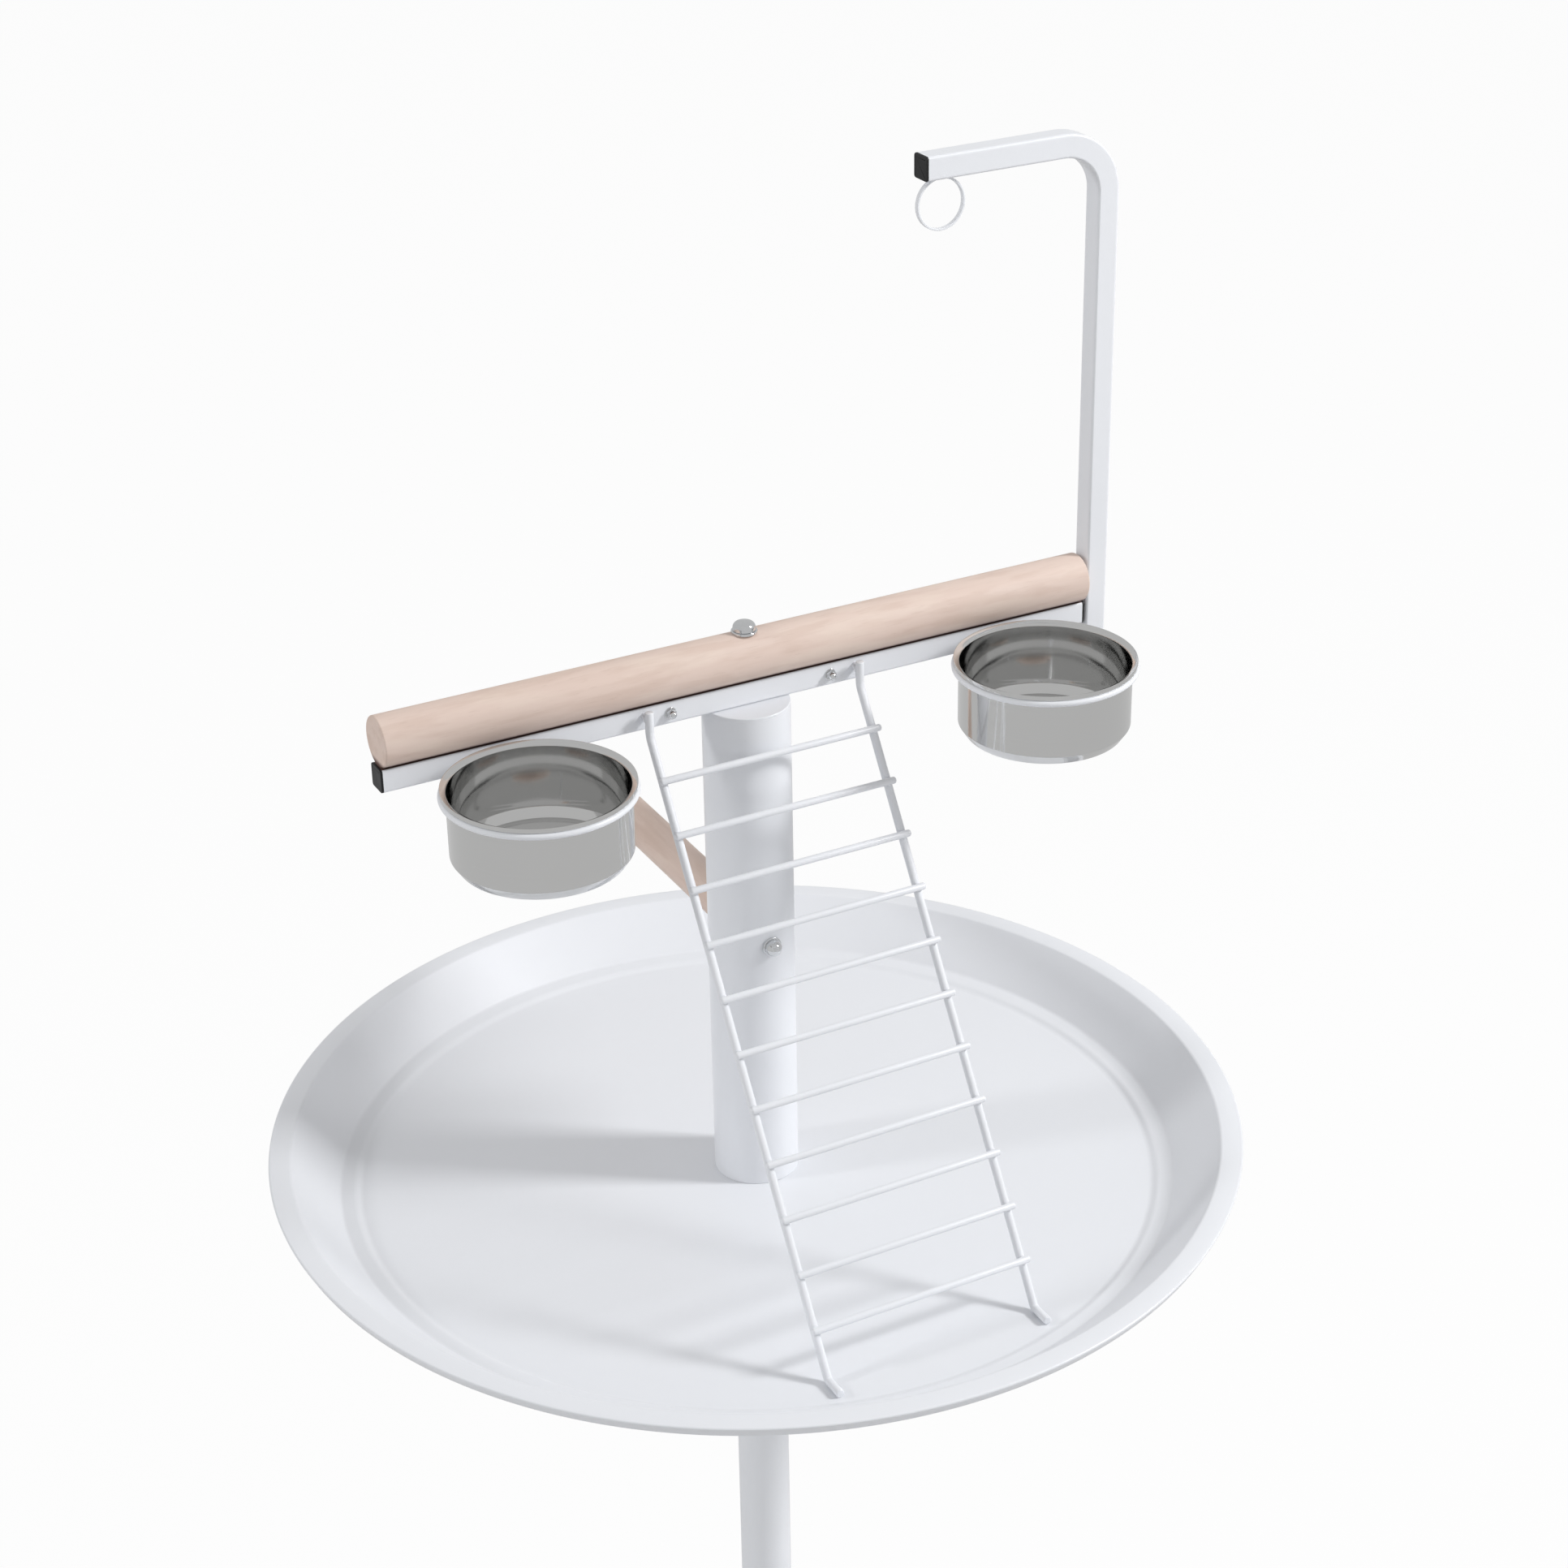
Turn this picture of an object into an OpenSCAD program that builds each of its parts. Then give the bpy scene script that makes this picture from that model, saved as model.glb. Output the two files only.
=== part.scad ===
// Bird feeding stand: a round tray on a post, with a perch bar above it that carries
// two steel cups, a wire ladder and a hooked arm for toys, all on a rolling base.
// The origin is the middle of the base on the ground. X runs along the perch bar
// towards the hooked arm, Y runs to the back and Z points up.

/* [Tray] */
// Outer radius of the tray rim
tray_r = 300; // [290:1:330]
// Height of the rim above the ground
tray_rim_z = 750; // [600:10:900]
// Depth from the rim down to the tray floor
tray_depth = 30.6; // [24:0.2:40]
// Thickness of the tray sheet
tray_sheet = 1.2; // [0.8:0.1:2]
// Width of the flat rim
tray_rim_w = 14; // [8:1:20]
// Height of the lip turned down at the rim
tray_lip_h = 7; // [4:0.5:12]
// How far the lip leans inwards
tray_lip_lean = 3.5; // [1:0.5:5]
// Radius where the wall starts to rise
tray_wall_r = 257.8; // [254:0.2:262]
// Radius where the small step pressed into the floor starts to rise
tray_step_r = 245.4; // [242:0.2:247]
// Height of that step
tray_step_h = 2.8; // [1:0.2:4]
// Radial run of the step's slope
tray_step_run = 3.6; // [1:0.2:5]

/* [Posts] */
// Diameter of the thick upper post
post_d = 52; // [48:1:60]
// Wall of the upper post
post_wall = 1.5; // [1:0.1:2.5]
// Height of the upper post above the tray floor, with its cap
post_h = 318.5; // [290:0.5:400]
// Thickness of the flat cap on the upper post
post_cap_t = 2; // [1.5:0.5:4]
// Diameter of the thin lower post
lower_post_d = 33; // [30:1:36]
// Wall of the lower post
lower_post_wall = 2; // [1.5:0.1:3]
// Length of the lower post inside the upper one, above the tray floor
spigot_h = 200; // [190:1:240]
// Height of the plastic bushes between the two posts
bush_h = 18; // [10:1:20]
// Height of the rear perch and its bolt above the tray floor
rear_perch_h = 167.5; // [160:0.5:172]

/* [Perch bar] */
// Length of the square steel bar
bar_l = 451.4; // [440:0.2:500]
// Width and height of the square bar
bar_w = 14; // [13:0.5:16]
// Wall of the square bar and of the hooked arm
bar_wall = 1.2; // [1:0.1:1.6]
// Outer corner radius of the square tube
bar_corner_r = 1.7; // [1.3:0.1:2.5]
// Height of the cup studs and the ladder's pegs above the underside of the bar
bar_hole_h = 9; // [8:0.1:9.2]
// Diameter of the wooden perch on the bar
perch_d = 29.7; // [26:0.1:29.7]
// Depth of the flats where the perch lies on the bar and under its bolt
perch_flat = 0.3; // [0.2:0.1:0.6]
// Rounding of the wooden ends
perch_edge_r = 0.9; // [0.5:0.1:2]
// Diameter of the rear perch
rear_perch_d = 24.8; // [20:0.2:30]
// Length of the rear perch from the post's axis
rear_perch_l = 256; // [150:1:270]

/* [End caps] */
// Thickness of the black end caps' flange
cap_t = 1.4; // [1:0.1:2.5]
// Length of the plug inside the tube
cap_plug_l = 9; // [6:0.5:10]

/* [Saddle] */
// Width of the saddle bracket behind the bar
saddle_w = 122; // [116:1:130]
// Height of its upright leg
saddle_h = 13; // [12:0.5:14]
// Thickness of its sheet
saddle_t = 2; // [1.5:0.1:2.5]
// Width of its foot on the post cap
saddle_foot_w = 30; // [24:1:34]
// Depth of its foot
saddle_foot_l = 12; // [9:1:13]
// Distance of the two small screws from the middle
saddle_screw_x = 51.7; // [48:0.1:54]

/* [Ladder] */
// Distance of each side rail from the middle
rail_x = 68; // [64:1:71]
// Wire diameter of the rails
rail_d = 5; // [4:0.1:5.5]
// Wire diameter of the rungs
rung_d = 4.2; // [3.4:0.1:5]
// Number of rungs
rung_count = 11; // [6:1:11]
// Distance between rungs, along the rails
rung_pitch = 31.9; // [26:0.1:32]
// Distance from the upper bend to the first rung, along the rails
rung_first = 27.1; // [20:0.1:32]
// How far each rung reaches past the middle of the rail
rung_overhang = 3.4; // [2.6:0.1:6]
// Distance of the upright stubs in front of the bar's face
stub_stand_off = 6.4; // [5:0.1:8]
// Height of the stubs' cut tops above the underside of the bar
stub_h = 14; // [12:0.1:14]
// Depth of the upper bend below the underside of the bar
upper_bend_drop = 1; // [0:0.1:4]
// Radius of the upper bend, on the wire's middle line
upper_bend_r = 12; // [4:0.5:16]
// Diameter of the short pegs welded to the stubs
peg_d = 4.4; // [3.6:0.1:4.4]
// Length of each peg inside the bar, from the outer face
peg_depth = 4.5; // [3:0.1:4.7]
// Distance of the foot bend from the post's axis
foot_bend_y = 216.2; // [205:0.2:218]
// Distance of the foot's tip from the post's axis
foot_tip_y = 230.6; // [225:0.1:230.8]
// Radius of the foot bend, on the wire's middle line
foot_bend_r = 4; // [3:0.1:4.5]

/* [Cups] */
// Distance of each cup's axis from the end of the bar
cup_in = 65.5; // [62:0.1:75]
// Distance of the cups' axes in front of the bar's middle
cup_y = 68.7; // [68.7:0.1:76]
// Height of the cup's rim above the top of the bar
cup_rim_h = 3.6; // [2:0.1:4]
// Outer radius of the cup's wall
cup_r = 50.4; // [44:0.1:50.4]
// Outer radius of the cup's rim
cup_rim_r = 53.4; // [52.2:0.1:53.5]
// Height of the rim's outer edge
cup_rim_t = 3; // [2.8:0.1:3.6]
// How far the rim rises from its inner to its outer edge
cup_rim_rise = 1.9; // [0.4:0.1:2.2]
// Height of the cup
cup_h = 46; // [34:0.2:60]
// Thickness of the cup's sheet
cup_sheet = 0.8; // [0.6:0.1:1.2]
// Height of the cone at the foot of the cup
cup_foot_h = 6; // [3:0.5:10]
// How far that cone narrows the cup
cup_foot_in = 4; // [2:0.5:8]
// Height of the raised disc pressed into the cup's floor
cup_boss_h = 1.6; // [1:0.1:2.5]
// Radius of that raised disc
cup_boss_r = 33; // [25:1:38]
// Wire diameter of the ring that holds the cup
ring_d = 3.8; // [3:0.1:4.2]
// Gap between the cup and its ring
ring_gap = 0.4; // [0.3:0.1:1]
// Diameter of the ring's threaded stud
stud_d = 5; // [4:0.5:6]

/* [Hooked arm] */
// Height of the arm's top above the underside of the bar
arm_h = 303.3; // [250:0.1:400]
// Reach of the arm from its outer face to its tip
arm_reach = 126; // [90:0.5:150]
// Radius of the bend, on the inner face
arm_bend_r = 23; // [16:1:30]
// How far the arm reaches below the underside of the bar
arm_drop = 10; // [6:1:20]
// Gap between the bar's end cap and the arm
arm_gap = 1.4; // [0.8:0.1:3]
// Outer radius of the toy ring
toy_ring_r = 15.4; // [12:0.1:20]
// Radial thickness of the toy ring
toy_ring_t = 1.3; // [1:0.1:2.5]
// Width of the toy ring's strip
toy_ring_w = 3; // [2:0.1:5]
// Distance of the toy ring's middle from the arm's tip
toy_ring_in = 11.5; // [8:0.5:20]

/* [Base] */
// Width and height of the square legs
leg_w = 25; // [22:1:28]
// Wall of the legs
leg_wall = 1.5; // [1.2:0.1:2]
// Outer corner radius of the legs
leg_corner_r = 2; // [1.6:0.1:3]
// How far the legs reach past the caster stems
leg_tip = 21; // [20:1:40]
// Distance of the caster stems from the middle
caster_at = 238; // [220:1:240]
// Outer diameter of the socket that holds the lower post
socket_d = 45; // [43:1:50]
// Height of the socket above the legs
socket_h = 52; // [46:1:80]
// Diameter of the round plate on the legs
base_plate_d = 130; // [120:1:150]
// Thickness of that plate
base_plate_t = 3; // [2:0.5:5]

/* [Casters] */
// Diameter of the caster wheels
wheel_d = 50; // [46:1:52]
// Width of the wheels
wheel_w = 18; // [14:1:22]
// Height of the legs' underside above the ground
caster_h = 66; // [65:1:80]
// Offset of the wheel's axle from the swivel axis
caster_trail = 20; // [16:1:22]
// Thickness of the fork's sheet
fork_t = 2.2; // [1.8:0.1:3]
// Diameter of the axle
axle_d = 6; // [5:0.5:8]

/* [Hidden] */
$fn = 96;
white = [0.90, 0.91, 0.92];
wood = [0.87, 0.79, 0.73];
steel = [0.70, 0.70, 0.69];
black = [0.15, 0.15, 0.15];
zinc = [0.62, 0.63, 0.65];
wheel_grey = [0.35, 0.36, 0.38];

// Every cut runs past the faces by this much.
overrun = 1;
// Clearance round a bolt in its hole, and of a plug or bush in its tube.
hole_gap = 0.2;
fit_gap = 0.1;
// Gap between moving faces, gap under a loose foot, and radial clearance of a shaft.
face_gap = 0.4;
rest_gap = 0.3;
run_gap = 0.05;
// How far welded wires sink into each other.
weld_bite = 0.1;
// How far straight wire runs into a bend, and how much thicker the wire is there.
bend_lap = 0.3;
bend_swell = 0.1;
leg_angles = [for (k = [0:3]) 45 + 90 * k];

// Metric fastener sizes: thread, across flats, nut height, washer diameter, washer thickness.
bolt_d = 6;
bolt_flats = 10;
bolt_nut_h = 5;
bolt_head_h = 3.5;
bolt_washer_d = 12;
bolt_washer_t = 1.4;
small_d = 3;
small_flats = 5.5;
small_dome_d = 5;
small_nut_h = 2.4;
small_washer_d = 7.2;
small_washer_t = 0.6;
stem_d = 10;
stem_flats = 17;
stem_nut_h = 8;

// Heights of the main pieces.
floor_z = tray_rim_z - tray_depth;
bar_z = floor_z + post_h;
bar_mid_z = bar_z + bar_w / 2;
bar_top_z = bar_z + bar_w;
bar_hole_z = bar_z + bar_hole_h;
perch_z = bar_top_z + perch_d / 2 - perch_flat;
perch_top_z = perch_z + perch_d / 2 - perch_flat;
rear_perch_z = floor_z + rear_perch_h;
leg_mid_z = caster_h + leg_w / 2;
leg_top_z = caster_h + leg_w;
spigot_top_z = floor_z + spigot_h;
cup_rim_z = bar_top_z + cup_rim_h;
bar_end_x = bar_l / 2;
cup_x = bar_end_x - cup_in;
leg_l = caster_at + leg_tip;
arm_x = bar_end_x + cap_t + arm_gap + bar_w / 2;
arm_tip_x = arm_x + bar_w / 2 - arm_reach;
arm_top_z = bar_z + arm_h;
arm_foot_z = bar_z - arm_drop;

// Square with round corners, filled.
module rounded_square(w, r) {
    square([w, w - 2 * r], center = true);
    square([w - 2 * r, w], center = true);
    for (x = [-1, 1], y = [-1, 1])
        translate([x * (w / 2 - r), y * (w / 2 - r)])
            circle(r = r);
}

// Section of a square tube.
module tube_section(w, wall, r) {
    difference() {
        rounded_square(w, r);
        rounded_square(w - 2 * wall, r - wall / 2);
    }
}

// Cylinder along X from the start point, and along Y.
module rod_x(d, l) {
    rotate([0, 90, 0])
        cylinder(d = d, h = l);
}

module rod_y(d, l) {
    rotate([-90, 0, 0])
        cylinder(d = d, h = l);
}

// Hexagon, given its width across the flats.
module hexagon(flats, h) {
    cylinder(d = flats / cos(30), h = h, $fn = 6);
}

// Ring with a rectangular section, standing on its lower face.
module washer(outer_d, inner_d, h) {
    difference() {
        cylinder(d = outer_d, h = h);
        translate([0, 0, -overrun])
            cylinder(d = inner_d, h = h + 2 * overrun);
    }
}

// Low round dome on a short cylinder, standing on its lower face.
module dome(d, h) {
    rise = h / 2;
    ball_r = (d * d / 4 + rise * rise) / (2 * rise);
    cylinder(d = d, h = h - rise);
    translate([0, 0, h - ball_r])
        rotate_extrude()
            intersection() {
                circle(r = ball_r);
                translate([0, ball_r - rise - (h - rise) / 2])
                    square([d / 2, h]);
            }
}

// Black plug for a square tube. The flange lies on the tube's end and the plug points along +Z.
module tube_plug(w, wall, r, hole_d) {
    difference() {
        union() {
            translate([0, 0, -cap_t])
                linear_extrude(cap_t)
                    rounded_square(w, r);
            linear_extrude(cap_plug_l)
                rounded_square(w - 2 * wall - 2 * fit_gap, r - wall / 2);
        }
        if (hole_d > 0)
            translate([0, 0, -cap_t - overrun])
                cylinder(d = hole_d, h = cap_t + cap_plug_l + 2 * overrun);
    }
}

/* Base */

socket_bolt_share = 0.6;
socket_bolt_z = leg_top_z + socket_h * socket_bolt_share;
socket_hole_d = lower_post_d + 2 * fit_gap;

module base_socket() {
    color(white)
    difference() {
        translate([0, 0, caster_h])
            cylinder(d = socket_d, h = leg_w + socket_h);
        translate([0, 0, caster_h + base_plate_t])
            cylinder(d = socket_hole_d, h = leg_w + socket_h);
        translate([-socket_d, 0, socket_bolt_z])
            rod_x(bolt_d + 2 * hole_gap, 2 * socket_d);
    }
}

base_screw_share = 0.36;
base_screw_at = base_plate_d * base_screw_share;

module base_plate() {
    color(white)
    translate([0, 0, leg_top_z])
        difference() {
            washer(base_plate_d, socket_d + 2 * fit_gap, base_plate_t);
            for (a = leg_angles)
                rotate(a)
                    translate([base_screw_at, 0, -overrun])
                        cylinder(d = bolt_d + 2 * hole_gap, h = base_plate_t + 2 * overrun);
        }
}

base_screw_l = leg_wall + bolt_nut_h;

module base_screws() {
    color(zinc)
    for (a = leg_angles)
        rotate(a)
            translate([base_screw_at, 0, leg_top_z]) {
                translate([0, 0, base_plate_t])
                    dome(bolt_washer_d, bolt_head_h);
                translate([0, 0, -base_screw_l])
                    cylinder(d = bolt_d, h = base_screw_l + base_plate_t);
            }
}

module base_bolt() {
    color(zinc)
    translate([socket_d / 2, 0, socket_bolt_z]) {
        rotate([0, 90, 0])
            dome(bolt_washer_d, bolt_head_h);
        translate([-socket_d - bolt_nut_h, 0, 0])
            rod_x(bolt_d, socket_d + bolt_nut_h);
    }
}

module base_nut() {
    color(zinc)
    translate([-socket_d / 2, 0, socket_bolt_z])
        rotate([0, -90, 0])
            difference() {
                hexagon(bolt_flats, bolt_nut_h);
                translate([0, 0, -overrun])
                    cylinder(d = bolt_d + 2 * run_gap, h = bolt_nut_h + 2 * overrun);
            }
}

leg_start = socket_d / 2 - 2 * leg_wall;

module leg(k) {
    color(white)
    rotate(leg_angles[k])
        difference() {
            translate([leg_start, 0, leg_mid_z])
                rotate([90, 0, 90])
                    linear_extrude(leg_l - leg_start)
                        tube_section(leg_w, leg_wall, leg_corner_r);
            translate([0, 0, caster_h - overrun])
                cylinder(d = socket_d + 2 * fit_gap, h = leg_w + 2 * overrun);
            translate([caster_at, 0, caster_h - overrun])
                cylinder(d = stem_d + 2 * hole_gap, h = leg_w / 2);
            translate([base_screw_at, 0, leg_mid_z])
                cylinder(d = bolt_d + 2 * run_gap, h = leg_w);
        }
}

module leg_caps() {
    color(black)
    for (a = leg_angles)
        rotate(a)
            translate([leg_l, 0, leg_mid_z])
                rotate([0, -90, 0])
                    tube_plug(leg_w, leg_wall, leg_corner_r, 0);
}

module caster_nuts() {
    color(zinc)
    for (a = leg_angles)
        rotate(a)
            translate([caster_at, 0, caster_h + leg_wall])
                difference() {
                    hexagon(stem_flats, stem_nut_h);
                    translate([0, 0, -overrun])
                        cylinder(d = stem_d + 2 * run_gap, h = stem_nut_h + 2 * overrun);
                }
}

/* Casters */

race_d = 30;
race_t = 2.5;
stem_head_d = 17;
stem_head_t = 2;
fork_top_z = caster_h - race_t - face_gap;
fork_under_z = fork_top_z - fork_t;
stem_head_z = fork_under_z - face_gap;

module caster_stems() {
    color(zinc)
    for (a = leg_angles)
        rotate(a)
            translate([caster_at, 0, 0]) {
                translate([0, 0, caster_h - race_t])
                    cylinder(d = race_d, h = race_t);
                translate([0, 0, stem_head_z - stem_head_t])
                    cylinder(d = stem_head_d, h = stem_head_t);
                translate([0, 0, stem_head_z])
                    cylinder(d = stem_d, h = caster_h - stem_head_z + leg_wall + stem_nut_h);
            }
}

fork_gap = wheel_w + 2 * face_gap;
fork_w = fork_gap + 2 * fork_t;
axle_z = wheel_d / 2;
cheek_r = 8.4;
cheek_back = race_d / 2;

// Outline of the fork's cheek, seen from the side with the swivel axis at zero.
module cheek_outline() {
    difference() {
        union() {
            translate([caster_trail, axle_z])
                circle(r = cheek_r);
            polygon([[-cheek_back, fork_top_z], [-cheek_back, fork_top_z - 2 * fork_t],
                [caster_trail - cheek_r, axle_z], [caster_trail + cheek_r, axle_z],
                [cheek_back, fork_top_z - 2 * fork_t], [cheek_back, fork_top_z]]);
        }
        translate([caster_trail, axle_z])
            circle(d = axle_d + 2 * run_gap);
    }
}

module caster_fork(k) {
    color(zinc)
    rotate(leg_angles[k])
        translate([caster_at, 0, 0])
            difference() {
                union() {
                    for (side = [0, 1])
                        translate([0, side * (fork_gap + fork_t) - fork_gap / 2, 0])
                            rotate([90, 0, 0])
                                linear_extrude(fork_t)
                                    cheek_outline();
                    translate([-cheek_back, -fork_w / 2, fork_under_z])
                        cube([2 * cheek_back, fork_w, fork_t]);
                }
                translate([0, 0, fork_under_z - overrun])
                    cylinder(d = stem_d + 2 * run_gap, h = fork_t + 2 * overrun);
            }
}

axle_head_t = 2.5;

module caster_axle(k) {
    color(zinc)
    rotate(leg_angles[k])
        translate([caster_at + caster_trail, 0, axle_z]) {
            translate([0, -fork_w / 2, 0])
                rod_y(axle_d, fork_w);
            for (side = [0, 1])
                translate([0, side * (fork_w + axle_head_t) - fork_w / 2 - axle_head_t, 0])
                    rod_y(bolt_flats, axle_head_t);
        }
}

tread_r = 3;
hub_web_t = 7;
hub_r = 8;
rim_in_r = wheel_d / 2 - 2 * tread_r;

module caster_wheel(k) {
    color(wheel_grey)
    rotate(leg_angles[k])
        translate([caster_at + caster_trail, 0, axle_z])
            rotate([90, 0, 0])
                rotate_extrude()
                    difference() {
                        union() {
                            translate([0, -wheel_w / 2])
                                square([wheel_d / 2 - tread_r, wheel_w]);
                            translate([0, -wheel_w / 2 + tread_r])
                                square([wheel_d / 2, wheel_w - 2 * tread_r]);
                            for (side = [-1, 1])
                                translate([wheel_d / 2 - tread_r, side * (wheel_w / 2 - tread_r)])
                                    circle(r = tread_r);
                        }
                        translate([-overrun, -wheel_w / 2 - overrun])
                            square([axle_d / 2 + run_gap + overrun, wheel_w + 2 * overrun]);
                        for (y = [-wheel_w / 2 - overrun, hub_web_t / 2])
                            translate([hub_r, y])
                                square([rim_in_r - hub_r, (wheel_w - hub_web_t) / 2 + overrun]);
                    }
}

/* Posts and tray */

module lower_post() {
    post_foot_z = caster_h + base_plate_t;
    color(white)
    difference() {
        translate([0, 0, post_foot_z])
            washer(lower_post_d, lower_post_d - 2 * lower_post_wall, spigot_top_z - post_foot_z);
        translate([-lower_post_d, 0, socket_bolt_z])
            rod_x(bolt_d + 2 * hole_gap, 2 * lower_post_d);
        translate([0, -lower_post_d, rear_perch_z])
            rod_y(bolt_d + 2 * hole_gap, 2 * lower_post_d);
    }
}

collar_h = 26;
collar_flange_d = 92;
collar_flange_t = 3;
collar_z = floor_z - tray_sheet;
collar_screw_z = collar_z - collar_flange_t - (collar_h - collar_flange_t) / 2;

module tray_collar() {
    color(white)
    difference() {
        union() {
            translate([0, 0, collar_z - collar_h])
                cylinder(d = socket_d, h = collar_h);
            translate([0, 0, collar_z - collar_flange_t])
                cylinder(d = collar_flange_d, h = collar_flange_t);
        }
        translate([0, 0, collar_z - collar_h - overrun])
            cylinder(d = socket_hole_d, h = collar_h + 2 * overrun);
        translate([0, 0, collar_screw_z])
            rod_y(bolt_d + 2 * run_gap, socket_d);
    }
}

module collar_screw() {
    color(zinc)
    translate([0, lower_post_d / 2, collar_screw_z]) {
        rod_y(bolt_d, (socket_d - lower_post_d) / 2 + bolt_nut_h);
        translate([0, (socket_d - lower_post_d) / 2 + bolt_nut_h, 0])
            rod_y(bolt_flats, bolt_nut_h);
    }
}

// Sheet profile of the tray from the middle hole to the lip, seen in section.
tray_rim_in_r = tray_r - tray_rim_w;
wall_angle = atan2(tray_depth - tray_step_h, tray_rim_in_r - tray_wall_r);
step_angle = atan2(tray_step_h, tray_step_run);
lip_angle = 90 - atan2(tray_lip_lean, tray_lip_h);
wall_shift = tray_sheet * tan(wall_angle / 2);
step_shift = tray_sheet * tan(step_angle / 2);
lip_shift = tray_sheet / sin(lip_angle);
tray_hole_r = lower_post_d / 2 + hole_gap;

module tray() {
    color(white)
    translate([0, 0, floor_z])
        rotate_extrude($fn = 180)
            polygon([
                [tray_hole_r, 0],
                [tray_step_r, 0],
                [tray_step_r + tray_step_run, tray_step_h],
                [tray_wall_r, tray_step_h],
                [tray_rim_in_r, tray_depth],
                [tray_r, tray_depth],
                [tray_r - tray_lip_lean, tray_depth - tray_lip_h],
                [tray_r - tray_lip_lean - lip_shift, tray_depth - tray_lip_h],
                [tray_r - lip_shift - tray_sheet * tray_lip_lean / tray_lip_h, tray_depth - tray_sheet],
                [tray_rim_in_r + wall_shift, tray_depth - tray_sheet],
                [tray_wall_r + wall_shift, tray_step_h - tray_sheet],
                [tray_step_r + tray_step_run + step_shift, tray_step_h - tray_sheet],
                [tray_step_r + step_shift, -tray_sheet],
                [tray_hole_r, -tray_sheet]]);
}

post_bore_d = post_d - 2 * post_wall;
post_tube_h = post_h - post_cap_t;

module upper_post() {
    color(white)
    difference() {
        translate([0, 0, floor_z])
            washer(post_d, post_bore_d, post_tube_h);
        translate([0, -post_d, rear_perch_z])
            rod_y(bolt_d + 2 * hole_gap, 2 * post_d);
    }
}

module post_cap() {
    color(white)
    difference() {
        translate([0, 0, bar_z - post_cap_t])
            cylinder(d = post_d, h = post_cap_t);
        translate([0, 0, bar_z - post_cap_t - overrun])
            cylinder(d = bolt_d + 2 * hole_gap, h = post_cap_t + 2 * overrun);
    }
}

// Two bushes centre the thin post in the thick one.
module post_bushes() {
    color(black)
    for (z = [floor_z + tray_sheet, spigot_top_z - bush_h])
        translate([0, 0, z])
            washer(post_bore_d - 2 * fit_gap, lower_post_d + 2 * fit_gap, bush_h);
}

module perch_nut() {
    color(zinc)
    translate([0, 0, bar_z - post_cap_t - bolt_nut_h])
        difference() {
            hexagon(bolt_flats, bolt_nut_h);
            translate([0, 0, -overrun])
                cylinder(d = bolt_d + 2 * run_gap, h = bolt_nut_h + 2 * overrun);
        }
}

/* Rear perch */

insert_d = 9;
insert_l = 22;
rear_head_h = 6.5;
insert_start = post_d / 2 + perch_edge_r;

// Round wooden rod along Y with eased ends.
module wooden_rod(d, l) {
    rotate([-90, 0, 0]) {
        translate([0, 0, perch_edge_r])
            cylinder(d = d, h = l - 2 * perch_edge_r);
        cylinder(d1 = d - 2 * perch_edge_r, d2 = d, h = perch_edge_r);
        translate([0, 0, l - perch_edge_r])
            cylinder(d1 = d, d2 = d - 2 * perch_edge_r, h = perch_edge_r);
    }
}

// Its flat end is pulled against the round post.
module rear_perch() {
    start_y = post_d / 2 + fit_gap;
    color(wood)
    difference() {
        translate([0, start_y, rear_perch_z])
            wooden_rod(rear_perch_d, rear_perch_l - start_y);
        translate([0, 0, rear_perch_z])
            rod_y(bolt_d + 2 * hole_gap, insert_start + insert_l + overrun);
        translate([0, insert_start, rear_perch_z])
            rod_y(insert_d, insert_l + overrun);
    }
}

module rear_perch_insert() {
    color("goldenrod")
    translate([0, insert_start, rear_perch_z])
        rotate([-90, 0, 0])
            washer(insert_d - 2 * fit_gap, bolt_d + 2 * run_gap, insert_l);
}

module rear_perch_washer() {
    color(zinc)
    translate([0, -post_d / 2 - bolt_washer_t, rear_perch_z])
        rotate([-90, 0, 0])
            washer(bolt_washer_d, bolt_d + 2 * hole_gap, bolt_washer_t);
}

module rear_perch_bolt() {
    head_y = -post_d / 2 - bolt_washer_t;
    color(zinc)
    translate([0, head_y, rear_perch_z]) {
        rotate([90, 0, 0])
            dome(bolt_flats, rear_head_h);
        rod_y(bolt_d, insert_start + insert_l - head_y);
    }
}

/* Perch bar */

module cross_bar() {
    color(white)
    difference() {
        translate([-bar_end_x, 0, bar_mid_z])
            rotate([90, 0, 90])
                linear_extrude(bar_l)
                    tube_section(bar_w, bar_wall, bar_corner_r);
        // Middle bolt.
        translate([0, 0, bar_z - overrun])
            cylinder(d = bolt_d + 2 * hole_gap, h = bar_w + 2 * overrun);
        for (side = [-1, 1]) {
            // Ladder pegs go into the front wall alone.
            translate([side * rail_x, -bar_w, bar_hole_z])
                rod_y(peg_d + 2 * hole_gap, bar_w);
            // Cup studs and saddle screws go right through.
            translate([side * cup_x, -bar_w, bar_hole_z])
                rod_y(stud_d + 2 * hole_gap, 2 * bar_w);
            translate([side * saddle_screw_x, -bar_w, bar_mid_z])
                rod_y(small_d + 2 * hole_gap, 2 * bar_w);
        }
    }
}

module bar_caps() {
    color(black) {
        translate([-bar_end_x, 0, bar_mid_z])
            rotate([90, 0, 90])
                tube_plug(bar_w, bar_wall, bar_corner_r, 0);
        translate([bar_end_x, 0, bar_mid_z])
            rotate([90, 0, -90])
                tube_plug(bar_w, bar_wall, bar_corner_r, bolt_d + 2 * hole_gap);
    }
}

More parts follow.
